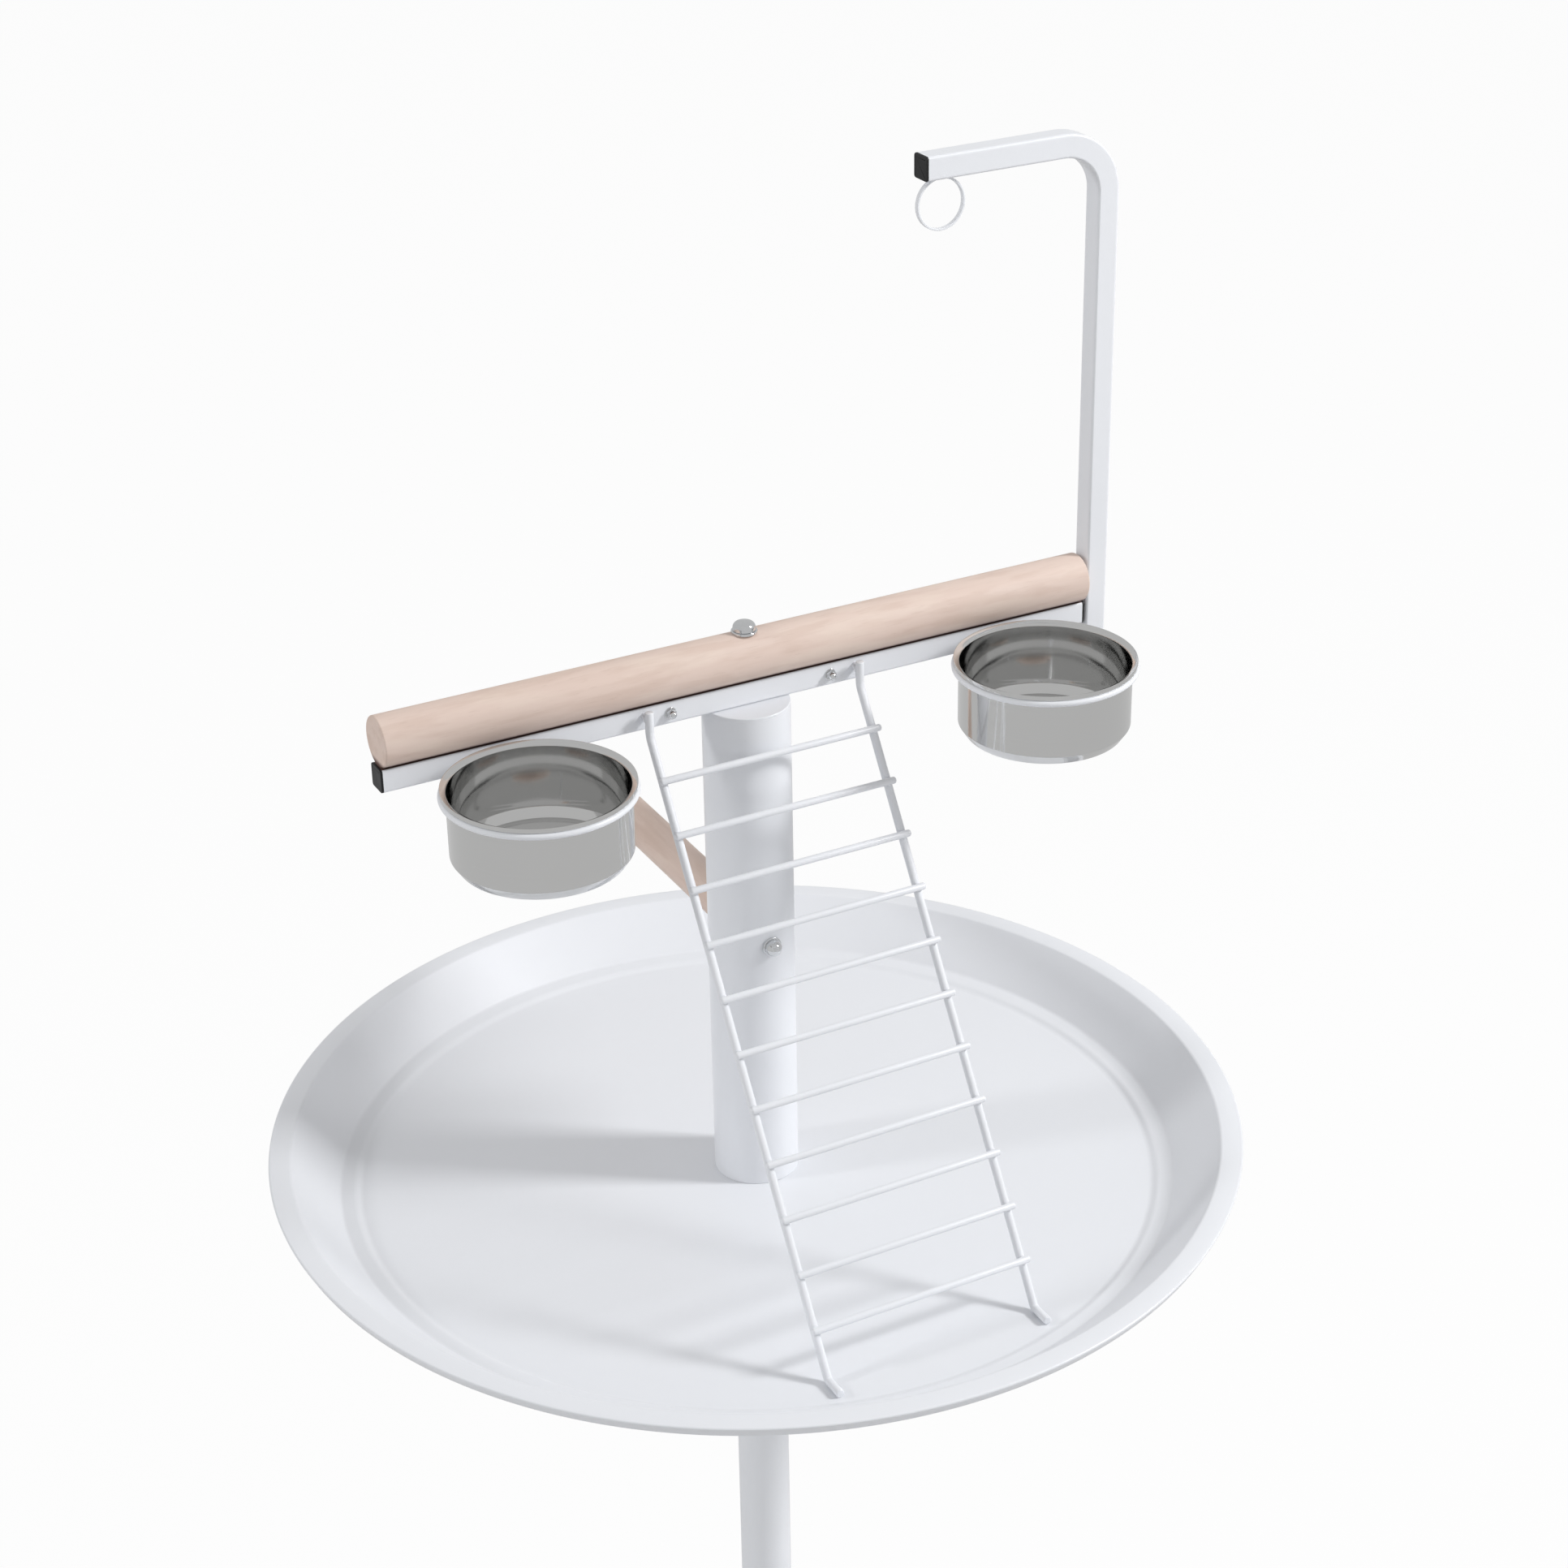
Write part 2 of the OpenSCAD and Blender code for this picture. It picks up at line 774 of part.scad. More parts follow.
module main_perch() {
    color(wood)
    difference() {
        translate([-bar_end_x, 0, perch_z])
            rotate([0, 0, -90])
                wooden_rod(perch_d, bar_l);
        // Flat along the bar, and a spot face under the bolt's washer.
        translate([-bar_l, -perch_d / 2, bar_top_z - perch_d])
            cube([2 * bar_l, perch_d, perch_d]);
        translate([0, 0, perch_top_z])
            cylinder(d = perch_washer_d + 2 * hole_gap, h = perch_d);
        translate([0, 0, bar_top_z - overrun])
            cylinder(d = bolt_d + 2 * hole_gap, h = perch_d + 2 * overrun);
    }
}

perch_head_d = 12.6;
perch_head_h = 5.8;
perch_washer_d = 15.2;

module perch_washer() {
    color(zinc)
    translate([0, 0, perch_top_z])
        washer(perch_washer_d, bolt_d + 2 * hole_gap, bolt_washer_t);
}

module perch_bolt() {
    shank_foot_z = bar_z - post_cap_t - bolt_nut_h;
    color(zinc) {
        translate([0, 0, perch_top_z + bolt_washer_t])
            dome(perch_head_d, perch_head_h);
        translate([0, 0, shank_foot_z])
            cylinder(d = bolt_d, h = perch_top_z + bolt_washer_t - shank_foot_z);
    }
}

/* Saddle that keeps the bar square on the post */

module saddle_bracket() {
    color(white)
    difference() {
        translate([0, bar_w / 2, bar_z]) {
            translate([-saddle_w / 2, 0, 0])
                cube([saddle_w, saddle_t, saddle_h]);
            translate([-saddle_foot_w / 2, 0, 0])
                cube([saddle_foot_w, saddle_foot_l, saddle_t]);
        }
        for (side = [-1, 1])
            translate([side * saddle_screw_x, 0, bar_mid_z])
                rod_y(small_d + 2 * hole_gap, bar_w);
    }
}

small_stack = small_washer_t + small_nut_h;

module saddle_screws() {
    color(zinc)
    for (side = [-1, 1])
        translate([side * saddle_screw_x, 0, bar_mid_z]) {
            translate([0, -bar_w / 2 - small_stack, 0])
                rod_y(small_d, bar_w + small_stack + saddle_t);
            translate([0, bar_w / 2 + saddle_t, 0])
                rotate([-90, 0, 0])
                    dome(small_flats, small_nut_h);
        }
}

module saddle_washers() {
    color(zinc)
    for (side = [-1, 1])
        translate([side * saddle_screw_x, -bar_w / 2 - small_washer_t, bar_mid_z])
            rotate([-90, 0, 0])
                washer(small_washer_d, small_d + 2 * hole_gap, small_washer_t);
}

// Domed nuts on the front of the bar.
module saddle_nuts() {
    color(zinc)
    for (side = [-1, 1])
        translate([side * saddle_screw_x, -bar_w / 2 - small_washer_t, bar_mid_z])
            rotate([90, 0, 0])
                difference() {
                    union() {
                        hexagon(small_flats, small_nut_h);
                        translate([0, 0, small_nut_h])
                            dome(small_dome_d, small_nut_h);
                    }
                    translate([0, 0, -overrun])
                        cylinder(d = small_d + 2 * run_gap, h = small_nut_h + overrun);
                }
}

/* Ladder */

// Wire bent in the YZ plane through corner points given as [y, z], with a radius for each bend.
module bent_wire(points, d, bend_radii) {
    last = len(points) - 1;
    headings = [for (i = [0:last - 1])
        atan2(points[i + 1][1] - points[i][1], points[i + 1][0] - points[i][0])];
    turns = [for (i = [1:last - 1])
        let (t = headings[i] - headings[i - 1]) t > 180 ? t - 360 : t < -180 ? t + 360 : t];
    trims = [for (i = [0:last])
        i == 0 || i == last ? 0 : bend_radii[i - 1] * tan(abs(turns[i - 1]) / 2)];
    laps = [for (i = [0:last]) i == 0 || i == last ? 0 : bend_lap];
    rotate([90, 0, 90]) {
        for (i = [0:last - 1])
            translate(points[i])
                rotate([0, 0, headings[i]])
                    translate([trims[i] - laps[i], 0, 0])
                        rod_x(d, norm(points[i + 1] - points[i]) - trims[i] - trims[i + 1]
                            + laps[i] + laps[i + 1]);
        for (i = [1:last - 1]) {
            side = sign(turns[i - 1]);
            bend_r = bend_radii[i - 1];
            centre = points[i] - trims[i] * [cos(headings[i - 1]), sin(headings[i - 1])]
                + side * bend_r * [-sin(headings[i - 1]), cos(headings[i - 1])];
            from = headings[i - 1] - side * 90 + (side < 0 ? turns[i - 1] : 0);
            translate(centre)
                rotate(from)
                    rotate_extrude(angle = abs(turns[i - 1]))
                        translate([bend_r, 0])
                            circle(d = d + bend_swell, $fn = 48);
        }
    }
}

stub_y = -bar_w / 2 - stub_stand_off;
upper_bend_z = bar_z - upper_bend_drop;
foot_z = floor_z + rest_gap + rail_d / 2;

module ladder_rails() {
    color(white)
    for (side = [-1, 1])
        translate([side * rail_x, 0, 0]) {
            bent_wire([[stub_y, bar_z + stub_h], [stub_y, upper_bend_z],
                [-foot_bend_y, foot_z], [-foot_tip_y, foot_z]],
                rail_d, [upper_bend_r, foot_bend_r]);
            translate([0, stub_y, bar_hole_z])
                rod_y(peg_d, stub_stand_off + peg_depth);
        }
}

slope = [-foot_bend_y, foot_z] - [stub_y, upper_bend_z];
slope_dir = slope / norm(slope);
slope_out = [slope_dir[1], -slope_dir[0]];
rung_out = (rail_d + rung_d) / 2 - weld_bite;

module ladder_rungs() {
    color(white)
    for (i = [0:rung_count - 1]) {
        at = [stub_y, upper_bend_z] + (rung_first + i * rung_pitch) * slope_dir + rung_out * slope_out;
        translate([-rail_x - rung_overhang, at[0], at[1]])
            rod_x(rung_d, 2 * (rail_x + rung_overhang));
    }
}

/* Cups and their rings */

module cup(side) {
    inner_r = cup_r - cup_sheet;
    foot_turn = atan2(cup_foot_h, cup_foot_in);
    foot_inner_r = cup_r - cup_foot_in - cup_sheet * tan(foot_turn / 2);
    wall_end_z = -cup_h + cup_foot_h + cup_sheet * tan(45 - foot_turn / 2);
    color(steel)
    translate([side * cup_x, -cup_y, cup_rim_z])
        rotate_extrude()
            difference() {
                // Outer form: coned foot, straight wall and a rim that rises outwards.
                polygon([[0, -cup_h], [cup_r - cup_foot_in, -cup_h],
                    [cup_r, -cup_h + cup_foot_h], [cup_r, -cup_rim_t],
                    [cup_rim_r, -cup_rim_t], [cup_rim_r, 0],
                    [inner_r, -cup_rim_rise], [0, -cup_rim_rise]]);
                // Hollow, one sheet inside the outer form, with a raised disc in the floor.
                difference() {
                    polygon([[-overrun, -cup_h + cup_sheet], [foot_inner_r, -cup_h + cup_sheet],
                        [inner_r, wall_end_z], [inner_r, overrun], [-overrun, overrun]]);
                    translate([-overrun, -cup_h])
                        square([cup_boss_r + overrun, cup_sheet + cup_boss_h]);
                }
                // The underside follows the raised disc.
                translate([-overrun, -cup_h - overrun])
                    square([cup_boss_r - cup_sheet + overrun, cup_boss_h + overrun]);
            }
}

ring_mid_r = cup_r + ring_gap + ring_d / 2;
ring_z = cup_rim_z - cup_rim_t - ring_d / 2;
ring_nut_h = 4;
ring_nut_flats = 8;
ring_washer_d = 10;
ring_washer_t = 1;
stud_start_y = -cup_y + ring_mid_r - ring_d / 2 + hole_gap;
stud_end_y = bar_w / 2 + ring_washer_t + ring_nut_h;

module cup_ring(side) {
    color(white)
    translate([side * cup_x, 0, 0]) {
        translate([0, -cup_y, ring_z])
            rotate_extrude()
                translate([ring_mid_r, 0])
                    circle(d = ring_d, $fn = 32);
        // Stud welded under the back of the ring, cut clear of the cup.
        difference() {
            translate([0, stud_start_y, bar_hole_z])
                rod_y(stud_d, stud_end_y - stud_start_y);
            translate([0, -cup_y, ring_z - ring_d - stud_d])
                cylinder(r = cup_r + ring_gap, h = ring_d + 2 * stud_d);
            translate([0, -cup_y, ring_z + ring_d / 2])
                cylinder(r = cup_rim_r + ring_d, h = stud_d);
        }
    }
}

module cup_ring_washers() {
    color(zinc)
    for (side = [-1, 1])
        translate([side * cup_x, bar_w / 2, bar_hole_z])
            rotate([-90, 0, 0])
                washer(ring_washer_d, stud_d + 2 * hole_gap, ring_washer_t);
}

module cup_ring_nuts() {
    color(zinc)
    for (side = [-1, 1])
        translate([side * cup_x, bar_w / 2 + ring_washer_t, bar_hole_z])
            rotate([-90, 0, 0])
                difference() {
                    hexagon(ring_nut_flats, ring_nut_h);
                    translate([0, 0, -overrun])
                        cylinder(d = stud_d + 2 * run_gap, h = ring_nut_h + 2 * overrun);
                }
}

/* Hooked arm */

arm_bolt_z = bar_mid_z;

module hook_arm() {
    bend_x = arm_x - bar_w / 2 - arm_bend_r;
    bend_z = arm_top_z - bar_w - arm_bend_r;
    color(white)
    difference() {
        union() {
            translate([arm_x, 0, arm_foot_z])
                linear_extrude(bend_z - arm_foot_z)
                    tube_section(bar_w, bar_wall, bar_corner_r);
            translate([bend_x, 0, bend_z])
                rotate([90, 0, 0])
                    rotate_extrude(angle = 90)
                        translate([arm_bend_r + bar_w / 2, 0])
                            tube_section(bar_w, bar_wall, bar_corner_r);
            translate([arm_tip_x, 0, arm_top_z - bar_w / 2])
                rotate([90, 0, 90])
                    linear_extrude(bend_x - arm_tip_x)
                        tube_section(bar_w, bar_wall, bar_corner_r);
        }
        translate([arm_x - bar_w, 0, arm_bolt_z])
            rod_x(bolt_d + 2 * hole_gap, bar_w);
        // The bolt's head goes in through the outer wall.
        translate([arm_x, 0, arm_bolt_z])
            rod_x(bolt_flats + 2 * hole_gap, bar_w);
    }
}

module arm_caps() {
    color(black) {
        translate([arm_tip_x, 0, arm_top_z - bar_w / 2])
            rotate([90, 0, 90])
                tube_plug(bar_w, bar_wall, bar_corner_r, 0);
        translate([arm_x, 0, arm_foot_z])
            tube_plug(bar_w, bar_wall, bar_corner_r, 0);
    }
}

arm_insert_l = 14;
arm_insert_x = bar_end_x - cap_plug_l - arm_insert_l;

// Threaded plug fixed inside the end of the bar.
module arm_insert() {
    color(zinc)
    translate([arm_insert_x, 0, arm_bolt_z])
        rotate([90, 0, 90])
            difference() {
                linear_extrude(arm_insert_l)
                    rounded_square(bar_w - 2 * bar_wall - 2 * fit_gap, bar_corner_r - bar_wall / 2);
                translate([0, 0, -overrun])
                    cylinder(d = bolt_d + 2 * run_gap, h = arm_insert_l + 2 * overrun);
            }
}

module arm_spacer() {
    color(zinc)
    translate([bar_end_x + cap_t, 0, arm_bolt_z])
        rotate([0, 90, 0])
            washer(bolt_flats, bolt_d + 2 * hole_gap, arm_gap);
}

// Bolt with its head inside the arm, on the inner wall.
module arm_bolt() {
    seat_x = arm_x - bar_w / 2 + bar_wall;
    color(zinc)
    translate([seat_x, 0, arm_bolt_z]) {
        rotate([0, 90, 0])
            dome(bolt_flats, bolt_nut_h);
        translate([arm_insert_x - seat_x, 0, 0])
            rod_x(bolt_d, seat_x - arm_insert_x);
    }
}

// Flat ring welded under the arm, with a small flat where it meets the tube.
module toy_ring() {
    under_z = arm_top_z - bar_w;
    color(white)
    intersection() {
        translate([arm_tip_x + toy_ring_in, 0, under_z - toy_ring_r + perch_flat])
            rotate([90, 0, 0])
                translate([0, 0, -toy_ring_w / 2])
                    washer(2 * toy_ring_r, 2 * (toy_ring_r - toy_ring_t), toy_ring_w);
        translate([arm_tip_x + toy_ring_in - 2 * toy_ring_r, -2 * toy_ring_r, under_z - 4 * toy_ring_r])
            cube(4 * toy_ring_r);
    }
}

base_socket();
base_plate();
base_screws();
base_bolt();
base_nut();
leg(0);  // leg_1
leg(1);  // leg_2
leg(2);  // leg_3
leg(3);  // leg_4
leg_caps();
caster_nuts();
caster_stems();
caster_fork(0);  // caster_fork_1
caster_fork(1);  // caster_fork_2
caster_fork(2);  // caster_fork_3
caster_fork(3);  // caster_fork_4
caster_axle(0);  // caster_axle_1
caster_axle(1);  // caster_axle_2
caster_axle(2);  // caster_axle_3
caster_axle(3);  // caster_axle_4
caster_wheel(0);  // caster_wheel_1
caster_wheel(1);  // caster_wheel_2
caster_wheel(2);  // caster_wheel_3
caster_wheel(3);  // caster_wheel_4
lower_post();
tray_collar();
collar_screw();
tray();
upper_post();
post_cap();
post_bushes();
perch_nut();
rear_perch();
rear_perch_bolt();
rear_perch_washer();
rear_perch_insert();
cross_bar();
bar_caps();
saddle_bracket();
saddle_screws();
saddle_washers();
saddle_nuts();
main_perch();
perch_bolt();
perch_washer();
ladder_rails();
ladder_rungs();
cup(-1);  // cup_left
cup(1);  // cup_right
cup_ring(-1);  // cup_ring_left
cup_ring(1);  // cup_ring_right
cup_ring_washers();
cup_ring_nuts();
hook_arm();
arm_caps();
arm_bolt();
arm_spacer();
arm_insert();
toy_ring();
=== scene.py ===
# %% [markdown]
# # A bird feeding stand in white steel, pale wood and polished cups
# The construction model is already there as a set of solids, one for each real piece. This lesson
# dresses it: pieces that the eye rests on are made again with soft edges and welds, and
# every piece gets a finish made of nodes. The solids can't be moved, so everything new is measured
# from them.

# %% Load the frame
from math import acos, cos, pi, radians, sin, tan

import bmesh
import bpy
from mathutils import Matrix, Vector


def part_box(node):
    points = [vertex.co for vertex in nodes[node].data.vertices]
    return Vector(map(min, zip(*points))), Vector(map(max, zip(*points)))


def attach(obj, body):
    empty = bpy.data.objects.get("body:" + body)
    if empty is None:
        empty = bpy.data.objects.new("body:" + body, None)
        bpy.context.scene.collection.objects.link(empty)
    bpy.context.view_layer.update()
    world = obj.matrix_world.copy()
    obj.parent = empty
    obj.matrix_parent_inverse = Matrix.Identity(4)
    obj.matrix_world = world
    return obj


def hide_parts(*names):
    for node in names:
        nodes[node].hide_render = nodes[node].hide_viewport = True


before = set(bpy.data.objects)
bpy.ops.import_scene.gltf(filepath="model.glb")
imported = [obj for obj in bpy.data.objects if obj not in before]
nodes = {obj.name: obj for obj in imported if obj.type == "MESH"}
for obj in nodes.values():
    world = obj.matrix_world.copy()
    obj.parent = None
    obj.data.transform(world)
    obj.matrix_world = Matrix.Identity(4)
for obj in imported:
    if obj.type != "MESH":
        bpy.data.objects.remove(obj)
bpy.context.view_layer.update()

# %% [markdown]
# ## Heights and radii
# Blender works in metres, and small steel parts are easier to think of in millimetres, so one
# value called mm does the change. The heights are read from the boxes of the solids, which keeps
# the new pieces in step with them.

# %% Main heights
mm = 0.001
rim_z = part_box("tray")[1].z
tray_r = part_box("tray")[1].x
floor_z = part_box("upper_post")[0].z
bar_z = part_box("cross_bar")[0].z
bar_top_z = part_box("cross_bar")[1].z
bar_end_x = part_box("cross_bar")[1].x
bar_half = (bar_top_z - bar_z) / 2
bar_mid_z = bar_z + bar_half
cup_rim_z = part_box("cup_left")[1].z
print("tray rim", rim_z, "tray floor", floor_z, "bar", bar_z, bar_top_z, "cup rim", cup_rim_z)

# %% [markdown]
# ## Helpers for shapes
# Four small tools make nearly everything on this stand. A lathe spins an outline round an axis,
# which is how dishes, cups and knobs are made. A rod is a cylinder with eased ends. A sweep drags
# a section along a line with bends, as a tube bender does. The last tool copies a solid and breaks
# its sharp edges, because no real edge is perfectly sharp and a small bevel catches the light.


# %% Lathe
def rounded_corner(bm, vert, size, segments=4):
    """Cuts the corner of a wire outline to an arc that starts and ends size away from it."""
    bmesh.ops.bevel(bm, geom=[vert], affect="VERTICES", offset=size, offset_type="OFFSET",
                    segments=segments, profile=0.5, material=-1)


def lathe(outline, closed=True, steps=96, matrix=None):
    """Spins an outline of (radius, height, rounding) corners round Z and moves the result."""
    bm = bmesh.new()
    verts = [bm.verts.new((radius, 0, height)) for radius, height, _ in outline]
    pairs = list(zip(verts, verts[1:])) + ([(verts[-1], verts[0])] if closed else [])
    for pair in pairs:
        bm.edges.new(pair)
    for vert, (_, _, rounding) in zip(verts, outline):
        if rounding:
            rounded_corner(bm, vert, rounding)
    bmesh.ops.spin(bm, geom=bm.verts[:] + bm.edges[:], cent=(0, 0, 0), axis=(0, 0, 1),
                   angle=2 * pi, steps=steps, use_merge=True)
    bmesh.ops.remove_doubles(bm, verts=bm.verts[:], dist=0.001 * mm)
    bmesh.ops.recalc_face_normals(bm, faces=bm.faces[:])
    if matrix:
        bmesh.ops.transform(bm, matrix=matrix, verts=bm.verts[:])
    return bm


# %% Rods and places
def pointing(at, direction):
    """A matrix that puts Z along a direction, with its origin at a point."""
    return Matrix.Translation(at) @ Vector(direction).to_track_quat("Z", "Y").to_matrix().to_4x4()


def rod(start, end, radius, ease=0.2 * mm, steps=32):
    """A round bar between two points with its end edges eased."""
    start, end = Vector(start), Vector(end)
    length = (end - start).length
    outline = [(0, 0, 0), (radius, 0, ease), (radius, length, ease), (0, length, 0)]
    return lathe(outline, closed=False, steps=steps, matrix=pointing(start, end - start))


def joined(*parts):
    """Several shapes in one, each left closed."""
    whole = parts[0]
    for part in parts[1:]:
        mesh = bpy.data.meshes.new("part")
        part.to_mesh(mesh)
        part.free()
        whole.from_mesh(mesh)
        bpy.data.meshes.remove(mesh)
    return whole


# %% Sweeps
def round_section(bm, radius, steps):
    """A flat round section in the plane across Z."""
    return bmesh.ops.create_circle(bm, cap_ends=True, radius=radius, segments=steps)["verts"]


def square_section(bm, width, corner, segments=5):
    """A flat square section with round corners in the plane across Z."""
    verts = bmesh.ops.create_grid(bm, x_segments=1, y_segments=1, size=width / 2)["verts"]
    bmesh.ops.bevel(bm, geom=verts, affect="VERTICES", offset=corner, offset_type="OFFSET",
                    segments=segments, profile=0.5, material=-1)
    return bm.verts[:]


def sweep(make_section, corners, bend_radii=(), bend_steps=8):
    """Drags a section along a line of corners, with a round bend at each inner one."""
    bm = bmesh.new()
    make_section(bm)
    corners = [Vector(corner) for corner in corners]
    heading = (corners[1] - corners[0]).normalized()
    bmesh.ops.transform(bm, matrix=pointing(corners[0], heading), verts=bm.verts[:])
    here, front = corners[0], bm.faces[:]
    for corner, after, bend_r in zip(corners[1:], corners[2:] + [None], [*bend_radii, 0]):
        turned = (after - corner).normalized() if after is not None else heading
        angle = heading.angle(turned)
        stop = corner - heading * bend_r * tan(angle / 2)
        old, made = front, bmesh.ops.extrude_face_region(bm, geom=front)["geom"]
        moved = [item for item in made if isinstance(item, bmesh.types.BMVert)]
        bmesh.ops.translate(bm, vec=stop - here, verts=moved)
        front = [item for item in made if isinstance(item, bmesh.types.BMFace)]
        if here != corners[0]:
            bmesh.ops.delete(bm, geom=[f for f in old if f.is_valid], context="FACES_ONLY")
        here = stop
        if after is not None:
            axis = heading.cross(turned).normalized()
            centre = stop + axis.cross(heading) * bend_r
            made = bmesh.ops.spin(bm, geom=front, cent=centre, axis=axis, angle=angle,
                                  steps=bend_steps, use_merge=False)["geom_last"]
            bmesh.ops.delete(bm, geom=[f for f in front if f.is_valid], context="FACES_ONLY")
            front = [item for item in made if isinstance(item, bmesh.types.BMFace)]
            here = corner + turned * bend_r * tan(angle / 2)
            heading = turned
    bmesh.ops.remove_doubles(bm, verts=bm.verts[:], dist=0.001 * mm)
    bmesh.ops.recalc_face_normals(bm, faces=bm.faces[:])
    return bm


# %% Softened copies
def softened(node, width=0.25 * mm, segments=2):
    """A copy of a solid with its flat faces made whole and its sharp edges bevelled."""
    bm = bmesh.new()
    bm.from_mesh(nodes[node].data)
    bmesh.ops.remove_doubles(bm, verts=bm.verts[:], dist=0.002 * mm)
    bmesh.ops.dissolve_limit(bm, angle_limit=radians(1), verts=bm.verts[:], edges=bm.edges[:])
    sharp = [e for e in bm.edges if e.is_manifold and e.calc_face_angle(0) > radians(35)]
    bmesh.ops.bevel(bm, geom=sharp, affect="EDGES", offset=width, offset_type="OFFSET",
                    segments=segments, profile=0.5, material=-1, clamp_overlap=True)
    return bm


# %% [markdown]
# ## From shape to piece
# A bmesh is only a shape in memory. This step turns it into an object, shades it smooth except at
# real edges, says which moving body it belongs to and hides the solids it stands for. Large flat faces
# beside a bevel shade unevenly, so a weighted normal modifier lets the big faces win.


# %% Make a piece
sharp_angle = radians(40)


def piece(name, bm, finish, body="stand", stands_for=(), weighted=True):
    """Turns a shape into an object with a finish, riding on a body of the stand."""
    for face in bm.faces:
        face.smooth = True
    for edge in bm.edges:
        edge.smooth = edge.calc_face_angle(0) < sharp_angle
    mesh = bpy.data.meshes.new(name)
    bm.to_mesh(mesh)
    bm.free()
    mesh.materials.append(finish)
    made = bpy.data.objects.new(name, mesh)
    bpy.context.scene.collection.objects.link(made)
    if weighted:
        even = made.modifiers.new("even shading", "WEIGHTED_NORMAL")
        even.keep_sharp = True
    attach(made, body)
    if stands_for:
        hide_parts(*stands_for)
    print(name, len(mesh.vertices), "points on", body)
    return made


# %% [markdown]
# ## Helpers for finishes
# A finish is a small graph of nodes. Wiring it by hand is slow to read, so a class wraps a socket
# and lets sums be written as Python, and another makes any other node with its settings first.


# %% Node maths
class Value:
    """A socket that carries a number, usable in sums."""

    def __init__(self, finish, socket):
        self.finish, self.socket = finish, socket

    def maths(self, operation, *others):
        """Makes a Math node of this number and others."""
        inputs = dict(enumerate((self, *others)))
        return self.finish.node("ShaderNodeMath", {"operation": operation}, inputs)

    def __add__(self, other):
        return self.maths("ADD", other)

    def __mul__(self, other):
        return self.maths("MULTIPLY", other)

    def __sub__(self, other):
        return self.maths("SUBTRACT", other)

    def __rsub__(self, other):
        return self * -1 + other

    def __pow__(self, other):
        return self.maths("POWER", other)

    __radd__ = __add__
    __rmul__ = __mul__


# %% Finish maker
class Finish:
    """A material with one principled shader and the nodes that feed it."""

    def __init__(self, name, roughness, metallic=0.0, specular=0.5):
        self.material = bpy.data.materials.new(name)
        self.material.use_nodes = True
        self.tree = self.material.node_tree
        self.shader = next(n for n in self.tree.nodes if n.type == "BSDF_PRINCIPLED")
        self.set("Roughness", roughness)
        self.set("Metallic", metallic)
        self.set("Specular IOR Level", specular)
        self.place = self.node("ShaderNodeTexCoord", output="Object")

    def node(self, kind, settings=None, inputs=None, output=0):
        """Makes a node, sets it up, feeds its inputs and returns one of its outputs."""
        made = self.tree.nodes.new(kind)
        for key, value in (settings or {}).items():
            setattr(made, key, value)
        for key, value in (inputs or {}).items():
            self.feed(made.inputs[key], value)
        return Value(self, made.outputs[output])

    def feed(self, socket, value):
        """Links a socket to a value, or sets it when the value is plain."""
        if isinstance(value, Value):
            self.tree.links.new(value.socket, socket)
        else:
            socket.default_value = value

    def set(self, name, value):
        """Sets or links an input of the shader."""
        self.feed(self.shader.inputs[name], value)

    def parts(self, vector):
        """The x, y and z of a vector."""
        return [self.node("ShaderNodeSeparateXYZ", None, {0: vector}, output=axis) for axis in (0, 1, 2)]

    def noise(self, scale, detail=2.0, stretch=(1, 1, 1), place=None):
        """Noise from 0 to 1 with features about 1 / scale metres across."""
        moved = self.node("ShaderNodeMapping", None, {0: place or self.place, 3: stretch})
        inputs = {"Vector": moved, "Scale": scale, "Detail": detail}
        return self.node("ShaderNodeTexNoise", None, inputs)

    def spread(self, value, low, high, to_low=0.0, to_high=1.0):
        """Stretches a value so that low to high becomes to_low to to_high, smoothly."""
        inputs = {0: value, 1: low, 2: high, 3: to_low, 4: to_high}
        return self.node("ShaderNodeMapRange", {"interpolation_type": "SMOOTHSTEP"}, inputs)

    def blend(self, a, b, factor):
        """A colour between a and b."""
        return self.node("ShaderNodeMix", {"data_type": "RGBA"}, {0: factor, 6: a, 7: b}, output=2)

    def bumps(self, height, depth, strength=1.0):
        """A normal that tilts as if the surface rose by up to the depth."""
        inputs = {"Height": height, "Distance": depth, "Strength": strength}
        return self.node("ShaderNodeBump", None, inputs)


def shade(colour, factor):
    """A colour with an alpha of 1, made lighter or darker."""
    return tuple(c * factor for c in colour) + (1.0,)


# %% [markdown]
# ## White powder coat
# Nearly all of the stand is steel with a white baked powder coat. Powder melts into a smooth skin
# with a faint orange peel, a wave about a millimetre across that only shows in highlights. The
# white is a little cool, and it varies by a percent or two, so it never looks like plain plastic.


# %% Coat
def powder_coat(name, colour=(0.785, 0.800, 0.834), roughness=0.295):
    """The white coat, and its colour for a finish that adds to it."""
    coat = Finish(name, roughness=roughness)
    cloud = coat.noise(6, detail=3)
    fine = coat.noise(160, detail=2)
    tone = coat.blend(shade(colour, 0.985), shade(colour, 1.012), cloud * 0.7 + fine * 0.3)
    coat.set("Base Color", tone)
    rubbed = coat.noise(45, detail=3)
    coat.set("Roughness", coat.spread(rubbed, 0.3, 0.7, roughness - 0.02, roughness + 0.03))
    coat.set("Normal", coat.bumps(coat.noise(620, detail=1.5), 0.03 * mm, 0.6))
    return coat, tone


white_coat = powder_coat("white_powder_coat")[0].material
print("coat ready")
